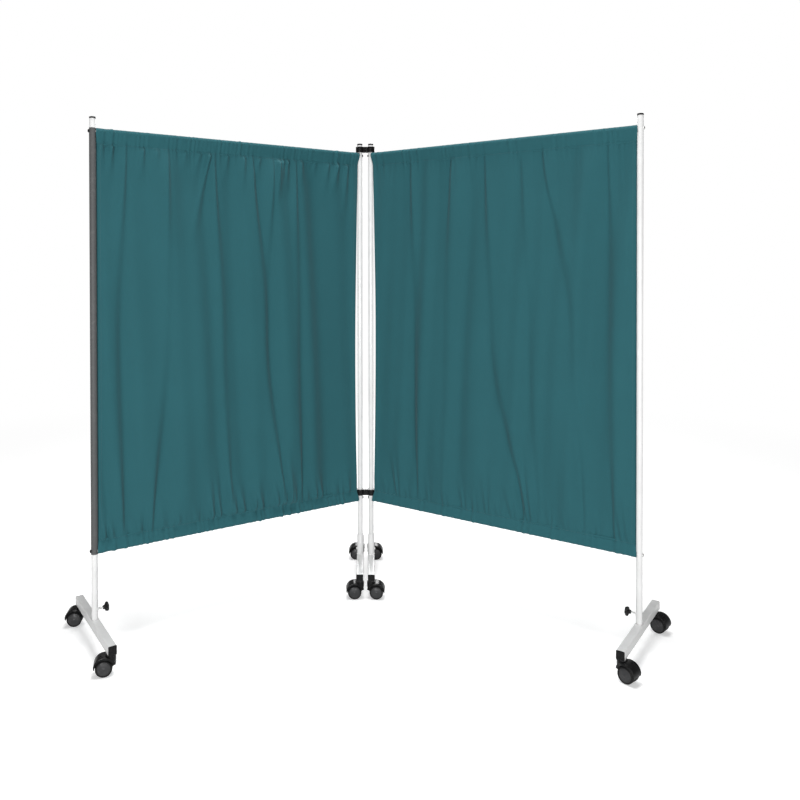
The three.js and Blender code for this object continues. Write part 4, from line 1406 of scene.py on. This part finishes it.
def stitches(side, across, down, along_row):
    """Stitches as small pods along a row of places on the cloth. Each is a table of ring places
    carried by three directions: along the row, across it and out of the cloth."""
    centre = cloth_surface(side, across, down)
    step = 0.0008
    beside = cloth_surface(side, across + step / panel_width(side), down) - centre
    below = cloth_surface(side, across, down + step) - centre
    ahead, aside = (beside, below) if along_row else (below, beside)
    ahead /= np.linalg.norm(ahead, axis=1, keepdims=True)
    out = np.cross(ahead, aside)
    out *= np.sign(out[:, 1:2]) / np.linalg.norm(out, axis=1, keepdims=True)
    wide = np.cross(out, ahead)
    # rings of a pod: place along it and size, as shares of its half length and of its half width
    # and height
    places = np.array([[-1.0, 0.0], [-0.86, 0.7], [0.0, 1.0], [0.86, 0.7], [1.0, 0.0]])
    rings = len(places)
    angle = circle_angles(rings)
    lengths = np.repeat(places[:, 0] * sizes().stitch_length / 2, rings)
    spread = np.outer(places[:, 1], np.cos(angle)).ravel() * 0.00042
    proud = np.outer(places[:, 1], np.sin(angle)).ravel() * 0.00028
    pods = (centre + out * (sizes().cloth_thickness / 2 + 0.00008))[:, None, :] + (
        lengths[None, :, None] * ahead[:, None] + spread[None, :, None] * wide[:, None]
        + proud[None, :, None] * out[:, None])
    points, quads, triangles = shell(pods[0].reshape(rings, rings, 3))
    order = np.array([np.argmin(np.linalg.norm(pods[0] - point, axis=1)) for point in points])
    starts = np.arange(len(pods))[:, None, None] * len(points)
    return outward(pods[:, order].reshape(-1, 3), (quads[None] + starts).reshape(-1, 4),
                   (triangles[None] + starts).reshape(-1, 3))


class SCREEN_OT_cloths(bpy.types.Operator):
    """The two teal cloths with their rod pockets, folds and stitching"""

    bl_idname = "screen.cloths"
    bl_label = "Hanging cloths"

    def execute(self, context):
        for side in SIDES:
            at = panel_place(side) @ np.diag([1.0, front_of(side), 1.0, 1.0])
            cloth, flat = self.hang(side, at)
            seams = self.sew(side, flat[0], at)
        return {"FINISHED"}

    def hang(self, side, at):
        """The cloth with the flat cut as its UV map, in metres, and the width and length of the
        cut."""
        node = f"{side}_cloth"
        across, down = np.linspace(0, 1, COLUMNS), cloth_rows(side)
        grid = cloth_surface(side, across[None, :], down[:, None])
        quads = quads_between(np.arange(grid.shape[0] * COLUMNS).reshape(-1, COLUMNS))
        quads = quads[:, [1, 2, 3, 0] if front_of(side) > 0 else [0, 3, 2, 1]]
        points = grid.reshape(-1, 3) @ at[:3, :3].T + at[:3, 3]
        cloth = add_mesh(f"{node}_hanging", points, quads.tolist())
        spans = np.linalg.norm(np.diff(grid, axis=1), axis=2).sum(axis=1)
        flat = (float(np.median(spans)), float(down[-1]))
        corner = np.zeros(len(cloth.data.loops), np.int32)
        cloth.data.loops.foreach_get("vertex_index", corner)
        places = np.stack(np.broadcast_arrays(across[None, :] * flat[0], down[:, None]), axis=-1)
        cut = cloth.data.uv_layers.new(name="cut")
        cut.data.foreach_set("uv", places.reshape(-1, 2)[corner].ravel())
        wall = cloth.modifiers.new("thickness", "SOLIDIFY")
        wall.thickness, wall.offset = sizes().cloth_thickness, 0.0
        cloth.data.materials.append(finish(teal_cloth))
        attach(cloth, BODY_OF[node])
        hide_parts(node)
        return cloth, flat

    def sew(self, side, flat_width, at):
        """Rows of stitches along both seams on the front and along the two side hems."""
        top, hem = cut_path(side)[1][[TOP_SEAM, TOP_SEAM + 1]]
        count, upright = (int(reach / sizes().stitch_pitch) for reach in (flat_width, hem - top))
        across = (np.arange(count) + 0.5) / count
        along = top + (hem - top) * (np.arange(upright) + 0.5) / upright
        inset = (sizes().side_hem - 0.002) / panel_width(side)
        rows = [stitches(side, across, np.full(count, down), True)
                for down in (top + 0.0015, hem - 0.0015)]
        rows += [stitches(side, np.full(upright, share), along, False)
                 for share in (inset, 1 - inset)]
        node = f"{side}_cloth"
        return add_piece(f"{node}_stitching", rows, node, sewing_thread, at, replaces=False)


# ---------------------------------------------------------------- studio


WHITE = (1.0, 1.0, 1.0, 1.0)
# Light of the white surroundings as the camera sees them and as they fall on the screen, and the
# floor's own light where the camera sees it
SEEN, CAST, FLOOR_GLOW = 1.0, 0.15, 0.36
# Distances from the middle between which the floor runs into the white
FLOOR_FADE = (1.3, 4.5)
FLOOR_SIDES = 96
# Place, aim, size and power of each soft light
LIGHTS = {
    "key_light": ((-0.8, -4.4, 1.0), (0, 0, 0.8), 1.1, 112),
    "fill_light": ((1.2, -4.4, 0.85), (0, 0, 0.8), 1.1, 49),
    "top_light": ((0.0, 0.0, 4.6), (0, 0, 0), 2.0, 175),
    "back_light": ((0.3, 4.6, 2.2), (0, 0, 0.8), 1.8, 70),
}
# Size of the photo, the focal length and the place of the lens's axis in it, all in pixels
PHOTO_SIZE, FOCAL_LENGTH, LENS_AXIS = 800, 756.5, (352.67, 273.09)
SENSOR_WIDTH = 36
# Place of the camera, and its yaw, pitch and roll in degrees
CAMERA_PLACE, CAMERA_TURN = (0.01678, -2.63299, 1.20244), (-1.2705, 0.582, -0.0854)


def floor_material():
    """Pale matt floor that runs into the background's white far from the screen, by its distance
    from the middle."""
    material, tree, shader = new_material("pale_floor", Roughness=0.75, Specular_IOR_Level=0.2,
                                          Emission_Color=WHITE)
    seen = add_node(tree, "ShaderNodeLightPath").outputs["Is Camera Ray"]
    place = object_place(tree)
    far = add_node(tree, "ShaderNodeVectorMath", {0: place}, operation="LENGTH").outputs["Value"]
    speck = in_range(tree, noise(tree, place, 60.0, 4.0), 0.3, 0.7)
    pale = colours().floor
    feed(tree, shader, Emission_Strength=maths(tree, "MULTIPLY", seen, FLOOR_GLOW),
         Base_Color=blended(tree, speck, shade(pale, 0.985), shade(pale, 1.01)))
    glow = add_node(tree, "ShaderNodeEmission", {"Color": WHITE, "Strength": 1.0})
    both = {0: in_range(tree, far, *FLOOR_FADE), 1: shader.outputs[0], 2: glow.outputs[0]}
    put(tree, tree.nodes["Material Output"].inputs["Surface"],
        add_node(tree, "ShaderNodeMixShader", both).outputs[0])
    return material


def add_floor():
    """Flat disc about the middle, in rings that widen from one to the next."""
    radius = np.concatenate([[0.0], np.geomspace(0.5, 60.0, 24)])[:, None]
    angle = circle_angles(FLOOR_SIDES)
    ground = np.stack([radius * np.cos(angle), radius * np.sin(angle), 0 * radius * angle], axis=-1)
    index = np.arange(ground.shape[0] * FLOOR_SIDES).reshape(-1, FLOOR_SIDES)
    quads = quads_between(index, around=True)[:, [0, 3, 2, 1]]
    points, quads, triangles = welded(ground.reshape(-1, 3), quads)
    floor = add_mesh("studio_floor", points, quads.tolist() + triangles.tolist())
    floor.data.materials.append(floor_material())


def soft_light(name, place, aim, size, watts):
    """Round area light at a place, turned towards its aim."""
    light = bpy.data.lights.new(name, "AREA")
    light.shape, light.size, light.energy = "DISK", size, watts
    made = bpy.data.objects.new(name, light)
    made.location = place
    made.rotation_mode = "QUATERNION"
    made.rotation_quaternion = (Vector(aim) - Vector(place)).to_track_quat("-Z", "Y")
    bpy.context.scene.collection.objects.link(made)


def white_surroundings(scene):
    """White world that the camera sees bright and that casts a weaker light."""
    world = scene.world or bpy.data.worlds.new("studio")
    scene.world = world
    world.use_nodes = True
    tree = world.node_tree
    tree.nodes.clear()
    seen, cast = (
        add_node(tree, "ShaderNodeBackground", {"Color": WHITE, "Strength": strength}).outputs[0]
        for strength in (SEEN, CAST))
    eye = add_node(tree, "ShaderNodeLightPath").outputs["Is Camera Ray"]
    both = add_node(tree, "ShaderNodeMixShader", {0: eye, 1: cast, 2: seen}).outputs[0]
    add_node(tree, "ShaderNodeOutputWorld", {"Surface": both})


def camera_matrix(place, yaw, pitch, roll):
    """Camera at a place, turned by yaw from +Y towards +X, tipped down by pitch and rolled about
    its own axis."""
    forwards = math.cos(pitch)
    ahead = np.array([math.sin(yaw) * forwards, math.cos(yaw) * forwards, -math.sin(pitch)])
    level = np.array([math.cos(yaw), -math.sin(yaw), 0.0])
    above = np.cross(level, ahead)
    right = math.cos(roll) * level + math.sin(roll) * above
    up = -math.sin(roll) * level + math.cos(roll) * above
    matrix = np.eye(4)
    matrix[:3] = np.column_stack([right, up, -ahead, place])
    return Matrix(matrix.tolist())


def add_camera(scene):
    """Camera at the photograph's viewing angle, with its lens and shift."""
    data = bpy.data.cameras.new("camera")
    data.lens, data.sensor_width = FOCAL_LENGTH / PHOTO_SIZE * SENSOR_WIDTH, SENSOR_WIDTH
    data.shift_x = (PHOTO_SIZE / 2 - LENS_AXIS[0]) / PHOTO_SIZE
    data.shift_y = -(PHOTO_SIZE / 2 - LENS_AXIS[1]) / PHOTO_SIZE
    camera = bpy.data.objects.new("camera", data)
    camera.matrix_world = camera_matrix(CAMERA_PLACE, *(math.radians(turn) for turn in CAMERA_TURN))
    scene.collection.objects.link(camera)
    scene.camera = camera


class SCREEN_OT_stage(bpy.types.Operator):
    """Pale floor, soft lights, white surroundings and the camera at the photograph's viewing
    angle"""

    bl_idname = "screen.stage"
    bl_label = "Floor, lights and camera"

    def execute(self, context):
        add_floor()
        for name, settings in LIGHTS.items():
            soft_light(name, *settings)
        white_surroundings(context.scene)
        context.scene.view_settings.view_transform = "Standard"
        add_camera(context.scene)
        return {"FINISHED"}


class SCREEN_PT_parts(bpy.types.Panel):
    """Lists the operators and the sizes and colours they read"""

    bl_label = "Ward privacy screen"
    bl_idname = "SCREEN_PT_parts"
    bl_space_type = "VIEW_3D"
    bl_region_type = "UI"
    bl_category = "Screen"

    def draw(self, context):
        for operator in OPERATORS:
            self.layout.operator(operator.bl_idname)
        for group in (sizes(), colours()):
            box = self.layout.box()
            for key in group.__annotations__:
                box.prop(group, key)


OPERATORS = (
    SCREEN_OT_posts,
    SCREEN_OT_rails,
    SCREEN_OT_clamps,
    SCREEN_OT_cloths,
    SCREEN_OT_feet,
    SCREEN_OT_knobs,
    SCREEN_OT_casters,
    SCREEN_OT_stage,
)
CLASSES = (ScreenSizes, ScreenColours, *OPERATORS, SCREEN_PT_parts)


def register():
    for each in CLASSES:
        bpy.utils.register_class(each)
    bpy.types.Scene.screen_sizes = bpy.props.PointerProperty(type=ScreenSizes)
    bpy.types.Scene.screen_colours = bpy.props.PointerProperty(type=ScreenColours)


def unregister():
    del bpy.types.Scene.screen_colours
    del bpy.types.Scene.screen_sizes
    for each in reversed(CLASSES):
        bpy.utils.unregister_class(each)


def main():
    register()
    bpy.ops.screen.posts()
    bpy.ops.screen.rails()
    bpy.ops.screen.clamps()
    bpy.ops.screen.cloths()
    bpy.ops.screen.feet()
    bpy.ops.screen.knobs()
    bpy.ops.screen.casters()
    bpy.ops.screen.stage()


if __name__ == "__main__":
    main()
